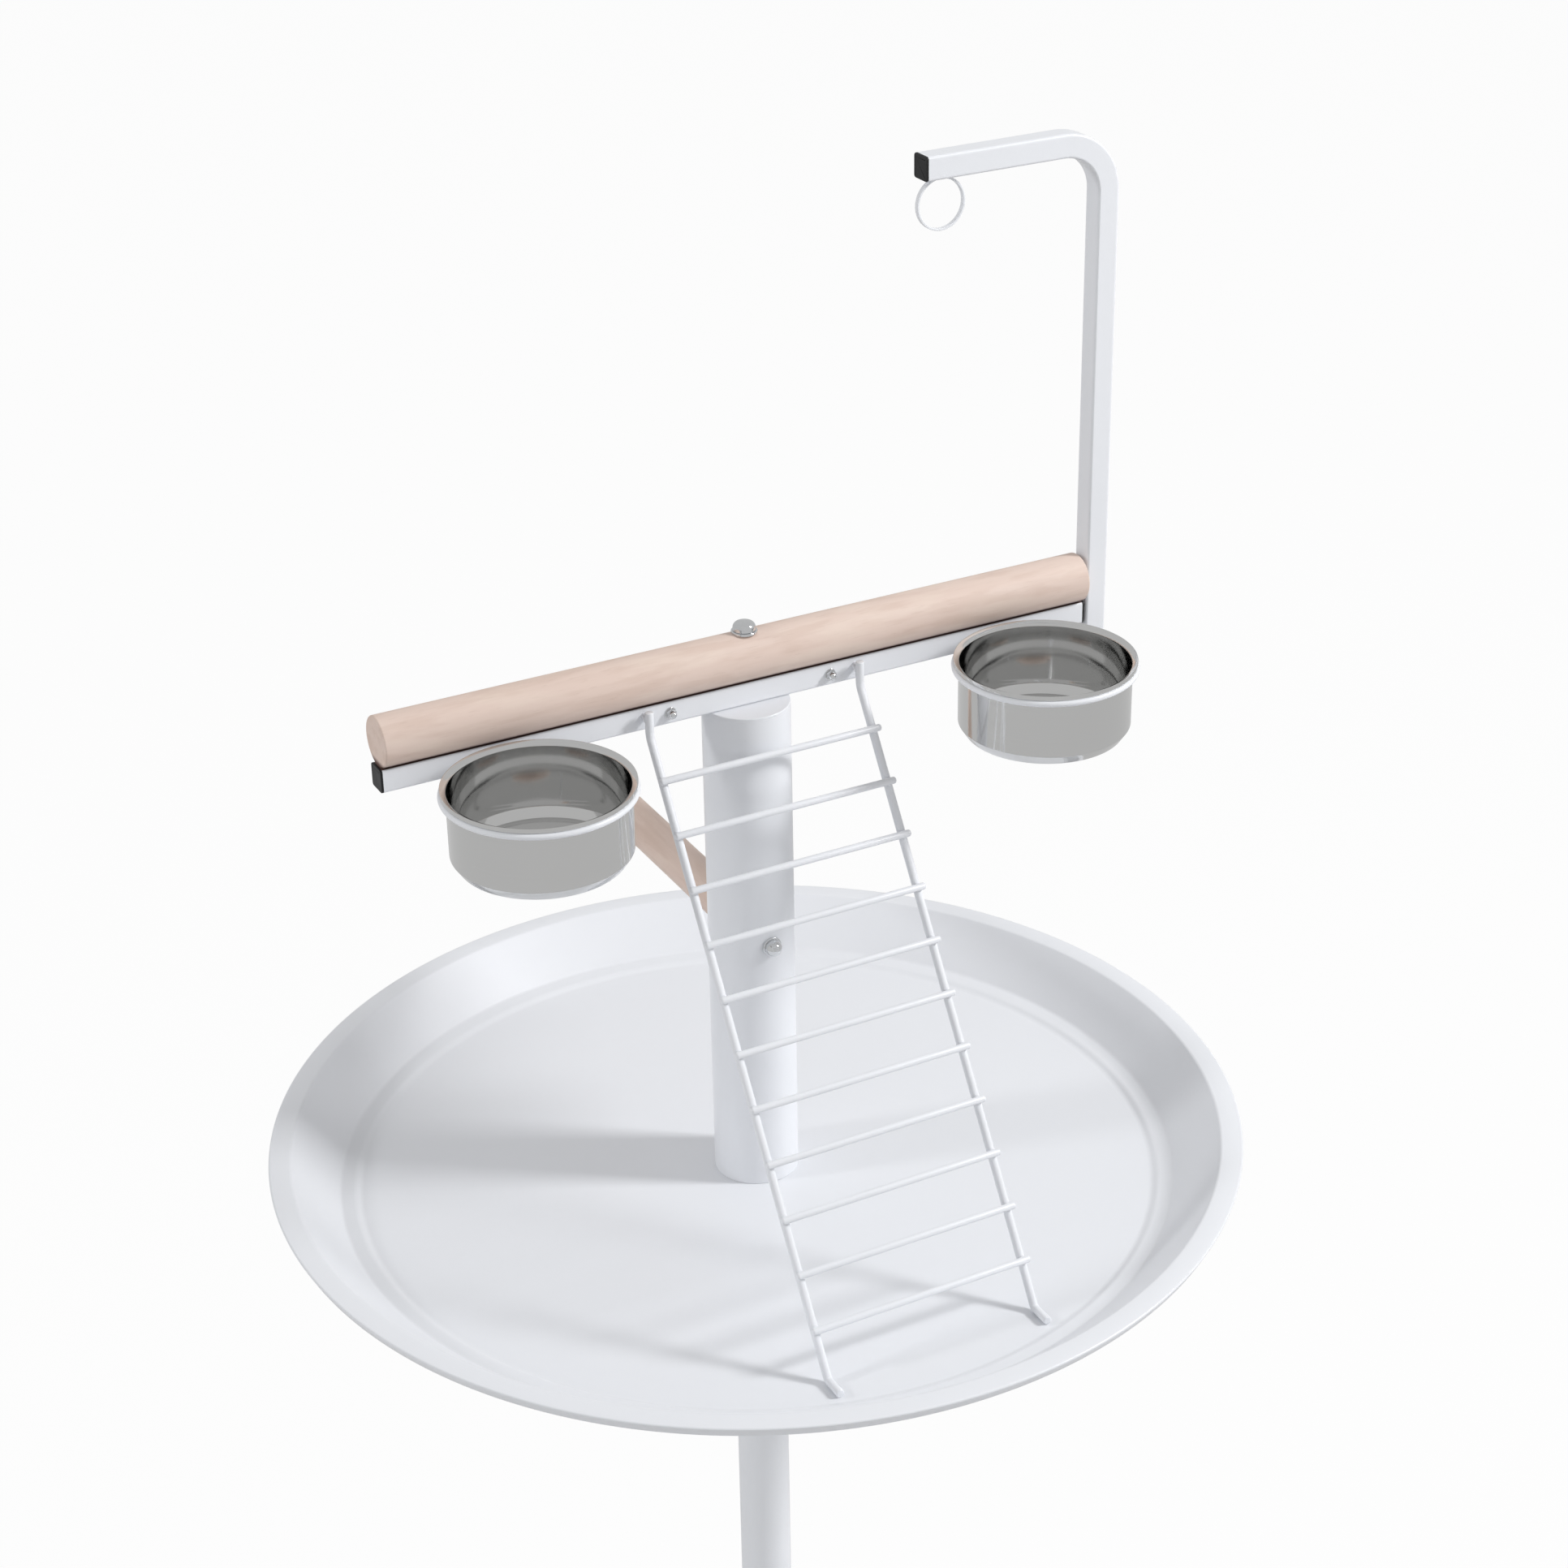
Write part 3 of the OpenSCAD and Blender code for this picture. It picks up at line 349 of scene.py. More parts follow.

# %% [markdown]
# The bar has the same coat, with a dark brown line of painted shade in the crease under the perch.
# Ramps find the place: two by height and one by distance from the bar's middle.


# %% Coat with painted crease shade
def painted_crease_shade(finish, low, high, half_width, fade=0.9 * mm):
    """Painted shade mask: 1 between two heights near the bar's middle plane, fading out above them."""
    _, across, height = finish.parts(finish.place)
    in_height = finish.spread(height, low - 0.1 * mm, low) * finish.spread(height, high, high + fade, 1, 0)
    side = across.maths("ABSOLUTE")
    return in_height * finish.spread(side, half_width, half_width + 0.4 * mm, 1, 0)


# Dark brown of the painted shade in the crease between perch and bar.
painted_shade_brown = (0.125, 0.070, 0.058)
bar_coat, bar_tone = powder_coat("white_powder_coat_with_painted_shade")
# Painted shade: a dark line along the top of the bar, under the perch.
crease_shade = painted_crease_shade(bar_coat, bar_top_z - 0.15 * mm, bar_top_z + 1 * mm, 6.6 * mm)
bar_coat.set("Base Color", bar_coat.blend(bar_tone, shade(painted_shade_brown, 1.0), crease_shade))
print("dusty coat ready")

# %% [markdown]
# ## Pale beech
# The perches are turned beech, sanded and left bare. Beech is pinkish and very even: long soft
# bands along the rod, short dark flecks that are cut pores, and a few paler patches. The pattern is
# noise in three dimensions squeezed along the rod, so the cut ends show it as dots, as real end
# grain does.


# %% Wood
def beech(name, along, seed, shaded_crease=False):
    """Bare beech with its grain along an axis, its pattern shifted by a seed, and painted crease shade if
    asked.
    """
    light, warm = (0.715, 0.580, 0.512), (0.655, 0.510, 0.438)
    gleam, dark = (0.76, 0.64, 0.555), (0.48, 0.35, 0.285)
    wood = Finish(name, roughness=0.55, specular=0.35)
    turned = wood.node("ShaderNodeMapping", None, {0: wood.place, 1: seed})

    def grain(scale, length_share, detail):
        stretch = tuple(length_share if axis == along else 1.0 for axis in "XYZ")
        return wood.noise(scale, detail, stretch, place=turned)

    bands = wood.spread(grain(55, 0.05, 4), 0.32, 0.68)
    patches = wood.spread(grain(14, 0.5, 3), 0.35, 0.65)
    streaks = wood.spread(grain(260, 0.03, 4), 0.3, 0.7)
    pores = wood.spread(grain(900, 0.09, 1), 0.63, 0.72)
    flames = wood.spread(grain(150, 0.16, 3), 0.46, 0.64)
    gleams = wood.spread(grain(75, 0.24, 3), 0.5, 0.66)
    tone = wood.blend(shade(light, 1.0), shade(warm, 1.0), bands * 0.45 + patches * 0.35)
    tone = wood.blend(tone, shade(light, 1.06), streaks * 0.35)
    tone = wood.blend(tone, shade(dark, 1.0), pores * 0.16)
    tone = wood.blend(tone, shade(gleam, 1.0), gleams * 0.42)
    tone = wood.blend(tone, shade(dark, 1.15), flames * 0.26)
    wood.set("Roughness", wood.spread(streaks, 0, 1, 0.5, 0.62))
    wood.set("Normal", wood.bumps(streaks * 0.4 - pores, 0.05 * mm, 0.4))
    # Painted shade: the underside of the perch is darkened where it sits in the crease over the bar.
    if shaded_crease:
        crease_shade = painted_crease_shade(wood, bar_top_z - 1 * mm, bar_top_z + 1.4 * mm, 13 * mm, 3.6 * mm)
        tone = wood.blend(tone, shade(painted_shade_brown, 1.0), crease_shade)
    wood.set("Base Color", tone)
    return wood.material


# The main perch gets painted shade along its underside over the bar.
perch_wood = beech("beech_main_perch", "X", (0.13, 0.02, 0.31), shaded_crease=True)
rear_wood = beech("beech_rear_perch", "Y", (0.47, 0.11, 0.05))
print("wood ready")

# %% [markdown]
# ## Polished steel, bright plating and plastic
# The cups are spun from stainless sheet and polished on a wheel, which leaves hair lines round
# them. The steel reflects about two thirds of the light, so the inside of a cup, which sees itself,
# looks much darker than the outside. The bolts are plated and brighter, and the end plugs and
# tyres are moulded.


# %% Metal
def spun_steel(name, centre, colour=(0.68, 0.68, 0.675)):
    """Steel with hair lines round an upright axis through a centre."""
    steel = Finish(name, roughness=0.05, metallic=1.0)
    moved = steel.node("ShaderNodeMapping", None, {0: steel.place, 1: (-centre[0], -centre[1], 0)})
    x, y, z = steel.parts(moved)
    radius = (x * x + y * y) ** 0.5
    rings = steel.node("ShaderNodeCombineXYZ", None, {0: radius * 8, 1: x * 0.02, 2: z * 8})
    lines = steel.noise(260, detail=4, place=rings)
    wear = lines * 0.6 + steel.noise(28, detail=3) * 0.4
    steel.set("Base Color", steel.blend(shade(colour, 0.95), shade(colour, 1.05), wear))
    steel.set("Roughness", steel.spread(wear, 0.3, 0.7, 0.06, 0.10))
    steel.set("Normal", steel.bumps(lines, 0.001 * mm, 0.2))
    return steel.material


def plated(name, colour, roughness):
    """Bright plating with a faint cloudiness and tiny pits."""
    metal = Finish(name, roughness=roughness, metallic=1.0)
    cloud, pits = metal.noise(240, detail=3), metal.noise(2200, detail=1)
    metal.set("Base Color", metal.blend(shade(colour, 0.9), shade(colour, 1.08), cloud))
    metal.set("Roughness", metal.spread(cloud, 0.3, 0.7, roughness * 0.7, roughness * 1.4))
    metal.set("Normal", metal.bumps(pits, 0.01 * mm, 0.3))
    return metal.material


def moulded(name, colour, roughness, grain=900, depth=0.03 * mm):
    """Moulded plastic or rubber with a fine etched grain and rubbed patches."""
    plastic = Finish(name, roughness=roughness, specular=0.4)
    rubbed, etched = plastic.noise(35, detail=4), plastic.noise(grain, detail=2)
    plastic.set("Base Color", plastic.blend(shade(colour, 0.85), shade(colour, 1.2), rubbed))
    plastic.set("Roughness", plastic.spread(rubbed, 0.3, 0.7, roughness - 0.07, roughness + 0.08))
    plastic.set("Normal", plastic.bumps(etched, depth, 0.5))
    return plastic.material


bright_zinc = plated("bright_plating", (0.72, 0.73, 0.74), 0.08)
fork_zinc = plated("fork_plating", (0.50, 0.51, 0.53), 0.32)
insert_brass = plated("machined_brass", (0.66, 0.50, 0.24), 0.28)
black_plastic = moulded("black_plug_plastic", (0.006, 0.006, 0.007), 0.48)
tyre_rubber = moulded("grey_tyre_rubber", (0.055, 0.057, 0.060), 0.62, 500, 0.05 * mm)
hub_plastic = moulded("pale_hub_plastic", (0.50, 0.51, 0.52), 0.45)
print("metals and plastics ready")

# %% [markdown]
# ## Tray
# The tray is one sheet of steel, pressed into a shallow dish: a flat floor, a small step, a sloping
# wall, a flat rim and a lip turned down so that no raw edge shows. A lathe makes it from its upper
# outline, with a rounding at every bend because sheet can't fold sharply, and the outline goes back
# underneath one sheet lower.

# %% Tray shape
sheet, hole_r = 1.2 * mm, 16.8 * mm
step_r, step_top_r, wall_foot_r, rim_in_r = 245 * mm, 248.8 * mm, 257.8 * mm, 286 * mm
lip_h, lip_lean = 7 * mm, 3.5 * mm
tray_outline = [
    (hole_r, floor_z, 0),
    (step_r, floor_z, 1.6 * mm),
    (step_top_r, floor_z + 2.1 * mm, 1.4 * mm),
    (wall_foot_r, floor_z + 2.8 * mm, 1.4 * mm),
    (rim_in_r, rim_z, 1.1 * mm),
    (tray_r, rim_z, 1.9 * mm),
    (tray_r - lip_lean, rim_z - lip_h, 0.3 * mm),
    (tray_r - lip_lean - 1.7 * mm, rim_z - lip_h, 0.3 * mm),
    (tray_r - 1.9 * mm, rim_z - sheet, 0.8 * mm),
    (rim_in_r + 0.5 * mm, rim_z - sheet, 1.6 * mm),
    (wall_foot_r + 0.5 * mm, floor_z + 2.8 * mm - sheet, 1.2 * mm),
    (step_top_r + 0.4 * mm, floor_z + 2.1 * mm - sheet, 1.2 * mm),
    (step_r + 0.3 * mm, floor_z - sheet, 1.2 * mm),
    (hole_r, floor_z - sheet, 0),
]
piece("tray_dish", lathe(tray_outline, steps=256), white_coat, stands_for=["tray"],
      weighted=False)

# %% [markdown]
# ## Posts
# The thick post stands on the tray and is closed by a disc, welded in flush and ground smooth, so
# only a hair line is left. The thin post carries the tray from below and goes down into the base.

# %% Post shapes
post_r, post_bore_r, thin_r, thin_bore_r = 26 * mm, 23 * mm, 16.5 * mm, 14.5 * mm
cap_thick, cap_hole_r = 2 * mm, 3.2 * mm
post_top_z = bar_z - cap_thick
upper_tube = lathe([(post_bore_r, floor_z, 0.3 * mm), (post_r, floor_z, 0.5 * mm),
                    (post_r, post_top_z, 0.15 * mm), (post_bore_r, post_top_z, 0)], steps=128)
piece("upper_post_tube", upper_tube, white_coat, stands_for=["upper_post"])
cap_disc = lathe([(cap_hole_r, post_top_z, 0), (post_r, post_top_z, 0.15 * mm),
                  (post_r, bar_z, 0.6 * mm), (cap_hole_r, bar_z, 0)], steps=128)
piece("post_cap_disc", cap_disc, white_coat, stands_for=["post_cap"])
thin_low, thin_high = (corner.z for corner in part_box("lower_post"))
lower_tube = lathe([(thin_bore_r, thin_low, 0), (thin_r, thin_low, 0.3 * mm),
                    (thin_r, thin_high, 0.3 * mm), (thin_bore_r, thin_high, 0)], steps=96)
piece("lower_post_tube", lower_tube, white_coat, stands_for=["lower_post"])

# %% [markdown]
# ## Perches
# A perch is a turned rod with its ends sawn square and eased with sandpaper. The main one lies on
# the bar along a narrow planed flat, and its cut ends show. A plane cuts the rod to make the flat.

# %% Perch shapes
perch_low, perch_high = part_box("main_perch")
perch_r = (perch_high.y - perch_low.y) / 2
perch_axis_z = bar_top_z + perch_r - 0.3 * mm
sanded = 1.0 * mm
main_rod = rod((perch_low.x, 0, perch_axis_z), (perch_high.x, 0, perch_axis_z), perch_r, sanded, steps=96)
bmesh.ops.bisect_plane(main_rod, geom=main_rod.verts[:] + main_rod.edges[:] + main_rod.faces[:],
                       plane_co=(0, 0, bar_top_z), plane_no=(0, 0, -1), clear_outer=True)
open_edges = [e for e in main_rod.edges if len(e.link_faces) == 1]
bmesh.ops.edgeloop_fill(main_rod, edges=open_edges)
bmesh.ops.recalc_face_normals(main_rod, faces=main_rod.faces[:])
piece("main_perch_rod", main_rod, perch_wood, stands_for=["main_perch"])

rear_low, rear_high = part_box("rear_perch")
rear_r = (rear_high.x - rear_low.x) / 2
rear_z = (rear_low.z + rear_high.z) / 2
rear_rod = rod((0, rear_low.y, rear_z), (0, rear_high.y, rear_z), rear_r, sanded, steps=96)
piece("rear_perch_rod", rear_rod, rear_wood, stands_for=["rear_perch"])

# %% [markdown]
# ## Bar and hooked arm
# Both are the same square tube with small round corners. The bar is straight, and a sweep makes it.
# The arm is bent in a tube bender, so its corner is a true quarter circle. Its solid has that bend
# already, and a copy of it with eased edges is enough.

# %% Square tube shapes
tube_w, tube_corner = 14 * mm, 1.7 * mm
bar_shape = sweep(lambda bm: square_section(bm, tube_w, tube_corner),
                  [(-bar_end_x, 0, bar_mid_z), (bar_end_x, 0, bar_mid_z)])
piece("cross_bar_tube", bar_shape, bar_coat.material, stands_for=["cross_bar"])

arm_low, arm_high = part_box("hook_arm")
arm_x = arm_high.x - bar_half
arm_run_z = arm_high.z - bar_half
piece("hook_arm_tube", softened("hook_arm", 0.2 * mm), white_coat, stands_for=["hook_arm"])

# %% [markdown]
# ## End plugs
# Each open end of the square tube is closed by a black plastic plug. Its flange is as large as the
# tube, with round edges and a face that is slightly raised in the middle.

# %% Plug shapes
def plug(at, outward, width=tube_w, corner=tube_corner, flange=1.4 * mm, wall=1.2 * mm):
    """A flange on the tube's end and a plug inside it."""
    out = Vector(outward)
    cap = sweep(lambda bm: square_section(bm, width, corner), [at, Vector(at) + out * flange])
    cap.faces.ensure_lookup_table()
    front = max(cap.faces, key=lambda f: f.calc_center_median().dot(out))
    bmesh.ops.bevel(cap, geom=front.edges[:], affect="EDGES", offset=0.45 * mm, segments=3,
                    offset_type="OFFSET", profile=0.5, material=-1)
    front = max(cap.faces, key=lambda f: f.calc_center_median().dot(out))
    bmesh.ops.inset_region(cap, faces=[front], thickness=1.6 * mm, depth=0.0)
    outer = [v for v in cap.verts if (v.co - Vector(at)).dot(out) > flange * 0.99]
    edge = [v for v in outer if v not in front.verts[:]]
    bmesh.ops.translate(cap, vec=out * -0.12 * mm, verts=edge)
    inside = sweep(lambda bm: square_section(bm, width - 2.2 * wall, 0.6 * mm),
                   [at, Vector(at) - out * 9 * mm])
    return joined(cap, inside)


bar_plugs = joined(plug((-bar_end_x, 0, bar_mid_z), (-1, 0, 0)), plug((bar_end_x, 0, bar_mid_z), (1, 0, 0)))
piece("bar_end_plugs", bar_plugs, black_plastic, stands_for=["bar_caps"])
arm_plugs = joined(plug((arm_low.x, 0, arm_run_z), (-1, 0, 0)), plug((arm_x, 0, arm_low.z), (0, 0, -1)))
piece("arm_end_plugs", arm_plugs, black_plastic, stands_for=["arm_caps"])

# %% [markdown]
# ## Fasteners
# The centre bolt has a low button head with a flat top. The rear perch is held by a bolt with a
# small domed head on a washer, and the saddle screws end in domed nuts: a hexagon with a ball end.
# All of them are turned parts, so a lathe and a six sided cone are enough, and the hexagon's edges
# are rounded as on a plated nut.

# %% Fastener shapes
def washer(at, axis, outer, inner, thick):
    """A stamped washer with one rolled edge."""
    outline = [(inner, 0, 0), (outer, 0, 0.15 * mm), (outer, thick, 0.35 * thick),
               (inner, thick, 0.2 * thick)]
    return lathe(outline, steps=48, matrix=pointing(at, axis))


def hexagon(at, axis, flats, height):
    """A hexagon nut or head with its edges rounded."""
    bm = bmesh.new()
    corner_r = flats / cos(pi / 6) / 2
    bmesh.ops.create_cone(bm, cap_ends=True, segments=6, radius1=corner_r, radius2=corner_r, depth=height)
    bmesh.ops.translate(bm, vec=(0, 0, height / 2), verts=bm.verts[:])
    bmesh.ops.bevel(bm, geom=bm.edges[:], affect="EDGES", offset=0.05 * flats, offset_type="OFFSET",
                    segments=2, profile=0.5, material=-1)
    bmesh.ops.transform(bm, matrix=pointing(at, axis), verts=bm.verts[:])
    return bm


def domed(at, axis, radius, height, skirt=0.35, steps=48):
    """A round head: a short skirt and a dome that is part of a circle."""
    rise = height * (1 - skirt)
    outline = [(0, 0, 0), (radius, 0, 0.06 * radius), (radius, height * skirt, 0)]
    ball = (radius * radius + rise * rise) / (2 * rise)
    top = height - ball
    swing = acos(max(-1.0, (ball - rise) / ball))
    for step in range(1, 9):
        angle = swing * (1 - step / 8)
        outline.append((ball * sin(angle), top + ball * cos(angle), 0))
    outline[-1] = (0, height, 0)
    return lathe(outline, closed=False, steps=steps, matrix=pointing(at, axis))


# %% Fasteners in place
up, down, back, front = (0, 0, 1), (0, 0, -1), (0, 1, 0), (0, -1, 0)
bolt_r, bolt_hole_r, washer_thick = 3 * mm, 3.2 * mm, 1.4 * mm
perch_top_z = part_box("perch_washer")[0].z
bolt_z = perch_top_z + washer_thick
centre_washer = washer((0, 0, perch_top_z), up, 7.7 * mm, bolt_hole_r, washer_thick)
piece("centre_washer", centre_washer, bright_zinc, stands_for=["perch_washer"])
head_outline = [(0, 0, 0), (6.7 * mm, 0, 0.4 * mm), (6.6 * mm, 3.6 * mm, 1.7 * mm),
                (4 * mm, 5.1 * mm, 2 * mm), (0, 5.3 * mm, 0)]
centre_bolt = joined(lathe(head_outline, closed=False, matrix=Matrix.Translation((0, 0, bolt_z))),
                     rod((0, 0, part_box("perch_bolt")[0].z), (0, 0, bolt_z), bolt_r))
piece("centre_bolt", centre_bolt, bright_zinc, stands_for=["perch_bolt"])

washer_low, washer_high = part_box("rear_perch_washer")
post_washer = washer((0, washer_high.y, rear_z), front, 6 * mm, bolt_hole_r, washer_thick)
piece("post_washer", post_washer, bright_zinc, stands_for=["rear_perch_washer"])
post_bolt = joined(domed((0, washer_low.y, rear_z), front, 5 * mm, 6.5 * mm, skirt=0.3),
                   rod((0, washer_low.y, rear_z), (0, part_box("rear_perch_bolt")[1].y, rear_z), bolt_r))
piece("post_bolt", post_bolt, bright_zinc, stands_for=["rear_perch_bolt"])

screw_x = (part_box("saddle_nuts")[1].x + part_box("saddle_nuts")[0].x) / 2 + 51.7 * mm
small_thick = 0.6 * mm
small_washers, small_nuts = [], []
for side in (-1, 1):
    face = Vector((side * screw_x, -bar_half, bar_mid_z))
    small_washers.append(washer(face, front, 3.6 * mm, 1.6 * mm, small_thick))
    seat = face + Vector(front) * small_thick
    small_nuts.append(hexagon(seat, front, 5.5 * mm, 2.4 * mm))
    small_nuts.append(domed(seat + Vector(front) * 2.3 * mm, front, 2.45 * mm, 2.5 * mm, skirt=0.1))
piece("saddle_nut_washers", joined(*small_washers), bright_zinc, stands_for=["saddle_washers"])
piece("saddle_domed_nuts", joined(*small_nuts), bright_zinc, stands_for=["saddle_nuts"])

# %% [markdown]
# ## Wire ladder
# Each rail is a thick wire with a short upright end at the top, a wide bend into the slope and a
# tighter bend at the foot, which lies flat on the tray. Behind the upright end a short peg is welded
# on, and it hooks into the bar. The rungs are thinner wire laid across the front of the rails and
# spot welded, which leaves a small squashed bead at each crossing. The coat fills the joint, so the
# beads are smooth.

# %% Ladder rails
rails_low, rails_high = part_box("ladder_rails")
rail_x, rail_r, peg_r = 68 * mm, 2.5 * mm, 2.2 * mm
top_bend_r, foot_bend_r = 12 * mm, 4 * mm
peg_z = bar_z + 9 * mm
stub_y = -bar_half - 6.4 * mm
bend_top = Vector((0, stub_y, bar_z - 1 * mm))
foot_z = rails_low.z + rail_r
bend_foot = Vector((0, -216.2 * mm, foot_z))


def bead_shape(at, axis, across, along, height):
    """A squashed ball of weld metal with its short side along an axis."""
    bead = bmesh.new()
    bmesh.ops.create_uvsphere(bead, u_segments=18, v_segments=10, radius=1)
    squash = Matrix.Diagonal((across, along, height, 1))
    bmesh.ops.transform(bead, matrix=pointing(at, axis) @ squash, verts=bead.verts[:])
    return bead


rails = []
for side in (-1, 1):
    shift = Vector((side * rail_x, 0, 0))
    line = [shift + Vector((0, stub_y, bar_top_z)), shift + bend_top, shift + bend_foot,
            shift + Vector((0, rails_low.y, foot_z))]
    rail = sweep(lambda bm: round_section(bm, rail_r, 32), line, [top_bend_r, foot_bend_r], 12)
    ends = [e for e in rail.edges if e.is_manifold and e.calc_face_angle(0) > radians(60)]
    bmesh.ops.bevel(rail, geom=ends, affect="EDGES", offset=0.5 * mm, offset_type="OFFSET",
                    segments=3, profile=0.5, material=-1)
    peg = rod(shift + Vector((0, stub_y, peg_z)), shift + Vector((0, rails_high.y, peg_z)), peg_r, 0.5 * mm)
    weld_at = shift + Vector((0, stub_y + rail_r * 0.8, peg_z))
    bead = bead_shape(weld_at, (0, 1, 0), 2.9 * mm, 2.9 * mm, 1.2 * mm)
    rails += [rail, peg, bead]
piece("ladder_side_rails", joined(*rails), white_coat, body="ladder", stands_for=["ladder_rails"],
      weighted=False)

# %% Rungs and welds
rung_r, rung_first, rung_pitch = 2.1 * mm, 27.1 * mm, 31.9 * mm
slope = (bend_foot - bend_top).normalized()
outward = Vector((0, slope.z, -slope.y))
rungs = []
for step in range(11):
    at = bend_top + slope * (rung_first + rung_pitch * step) + outward * (rail_r + rung_r - 0.1 * mm)
    half = Vector((rail_x + 3.4 * mm, 0, 0))
    rungs.append(rod(at - half, at + half, rung_r, ease=1.3 * mm, steps=24))
    for side in (-1, 1):
        crossing = at - outward * rung_r + Vector((side * rail_x, 0, 0))
        rungs.append(bead_shape(crossing, outward, 2.9 * mm, 2.5 * mm, 1.5 * mm))
piece("ladder_rungs_and_welds", joined(*rungs), white_coat, body="ladder", stands_for=["ladder_rungs"],
      weighted=False)

# %% [markdown]
# ## Cups
# A seed cup is spun from thin stainless sheet. The foot is a cone, the wall is straight, and the rim
# flares up to a smooth outer edge that hangs on the ring. A disc is pressed up in the floor to
# stiffen it. The lathe goes up the outside and back down the inside, one sheet in.

# %% Cup shapes
cup_low, cup_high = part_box("cup_right")
cup_x, cup_y = (cup_low.x + cup_high.x) / 2, (cup_low.y + cup_high.y) / 2
cup_h = cup_rim_z - cup_low.z
rim_r = (cup_high.x - cup_low.x) / 2
wall_r, skin = 50.4 * mm, 0.8 * mm
disc_r, disc_rise, rim_h = 32 * mm, 1.6 * mm, 3.0 * mm
cup_outline = [
    (0, -cup_h + disc_rise, 0),
    (disc_r, -cup_h + disc_rise, 0.8 * mm),
    (disc_r + 1.5 * mm, -cup_h, 0.8 * mm),
    (wall_r - 4.0 * mm, -cup_h, 0.5 * mm),
    (wall_r, -cup_h + 6.0 * mm, 0.4 * mm),
    (wall_r, -rim_h, 0.3 * mm),
    (rim_r, -rim_h, 0.6 * mm),
    (rim_r, 0, 0.35 * mm),
    (wall_r - skin, -1.9 * mm, 1.0 * mm),
    (wall_r - skin, -cup_h + 6.24 * mm, 0.4 * mm),
    (wall_r - skin - 3.63 * mm, -cup_h + skin, 0.5 * mm),
    (disc_r + 2.0 * mm, -cup_h + skin, 0.4 * mm),
    (disc_r + 0.4 * mm, -cup_h + skin + disc_rise, 0.4 * mm),
    (0, -cup_h + skin + disc_rise, 0),
]
for side, body in ((-1, "left_cup"), (1, "right_cup")):
    centre = Vector((side * cup_x, cup_y, cup_rim_z))
    cup = lathe(cup_outline, closed=False, steps=160, matrix=Matrix.Translation(centre))
    piece(body + "_bowl", cup, spun_steel("spun_steel_" + body, centre), body=body,
          stands_for=["cup_left" if side < 0 else "cup_right"], weighted=False)

# %% [markdown]
# ## Cup rings
# Each cup hangs by its rim in a ring of white wire. A threaded stud is welded under the back of the
# ring and goes through the bar to a nut. The weld is a low bead that runs into the wire.

# %% Ring shapes
wire_r = 1.9 * mm
ring_r = wall_r + 0.4 * mm + wire_r
ring_z = cup_rim_z - rim_h - wire_r
stud_z = peg_z
stud_end_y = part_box("cup_ring_right")[1].y
for side, node in ((-1, "cup_ring_left"), (1, "cup_ring_right")):
    wire = bmesh.new()
    made = bmesh.ops.create_circle(wire, cap_ends=False, radius=wire_r, segments=24)["verts"]
    upright = Matrix.Translation((ring_r, 0, 0)) @ Matrix.Rotation(pi / 2, 4, "X")
    bmesh.ops.transform(wire, matrix=upright, verts=made)
    bmesh.ops.spin(wire, geom=wire.edges[:] + wire.verts[:], cent=(0, 0, 0), axis=up, angle=2 * pi,
                   steps=160, use_merge=True)
    bmesh.ops.recalc_face_normals(wire, faces=wire.faces[:])
    bmesh.ops.translate(wire, vec=(side * cup_x, cup_y, ring_z), verts=wire.verts[:])
    stud_start = cup_y + ring_r
    stud = rod((side * cup_x, stud_start - wire_r * 0.4, stud_z), (side * cup_x, stud_end_y, stud_z),
               2.5 * mm, 0.5 * mm)
    bead = bead_shape((side * cup_x, stud_start, stud_z + 1.6 * mm), up, 4.2 * mm, 2.6 * mm, 1.9 * mm)
    piece(node + "_wire", joined(wire, stud, bead), white_coat, stands_for=[node],
          weighted=False)

# %% [markdown]
# ## Toy ring
# A flat strip is rolled into a ring and welded edge up under the tip of the arm.

# %% Toy ring shape
ring_low, ring_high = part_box("toy_ring")
toy_r = (ring_high.x - ring_low.x) / 2
toy_at = Vector(((ring_low.x + ring_high.x) / 2, 0, ring_low.z + toy_r))
strip_thick, strip_half, strip_ease = 1.3 * mm, 1.5 * mm, 0.3 * mm
strip = [(toy_r - strip_thick, -strip_half, strip_ease), (toy_r, -strip_half, strip_ease),
         (toy_r, strip_half, strip_ease), (toy_r - strip_thick, strip_half, strip_ease)]
toy_loop = lathe(strip, steps=96, matrix=pointing(toy_at, back))
for corner in (-1, 1):
    seam = (toy_at.x + corner * 3.2 * mm, 0, ring_high.z - 0.35 * mm)
    toy_loop = joined(toy_loop, bead_shape(seam, up, 2.2 * mm, 1.4 * mm, 0.45 * mm))
piece("toy_ring_loop", toy_loop, white_coat, stands_for=["toy_ring"])

# %% [markdown]
# ## Parts made from their solids
# Brackets, collars and plates are already the right shape. Each gets a copy with its flats made
# whole and its sharp edges eased, as sheet metal has after tumbling and coating. Where a tube meets
# a plate there is a fillet weld: a small bead that runs right round.

# %% Collar, bracket and bushes
def weld_ring(at, axis, radius, size):
    """A bead of weld round a tube where it meets a plate."""
    sunk = 0.3 * mm
    outline = [(radius - sunk, -sunk, 0), (radius + size, -sunk, 0),
               (radius + size, 0.25 * size, 0.2 * size), (radius + 0.25 * size, size, 0.3 * size),
               (radius - sunk, size, 0)]
    return lathe(outline, steps=96, matrix=pointing(at, axis))


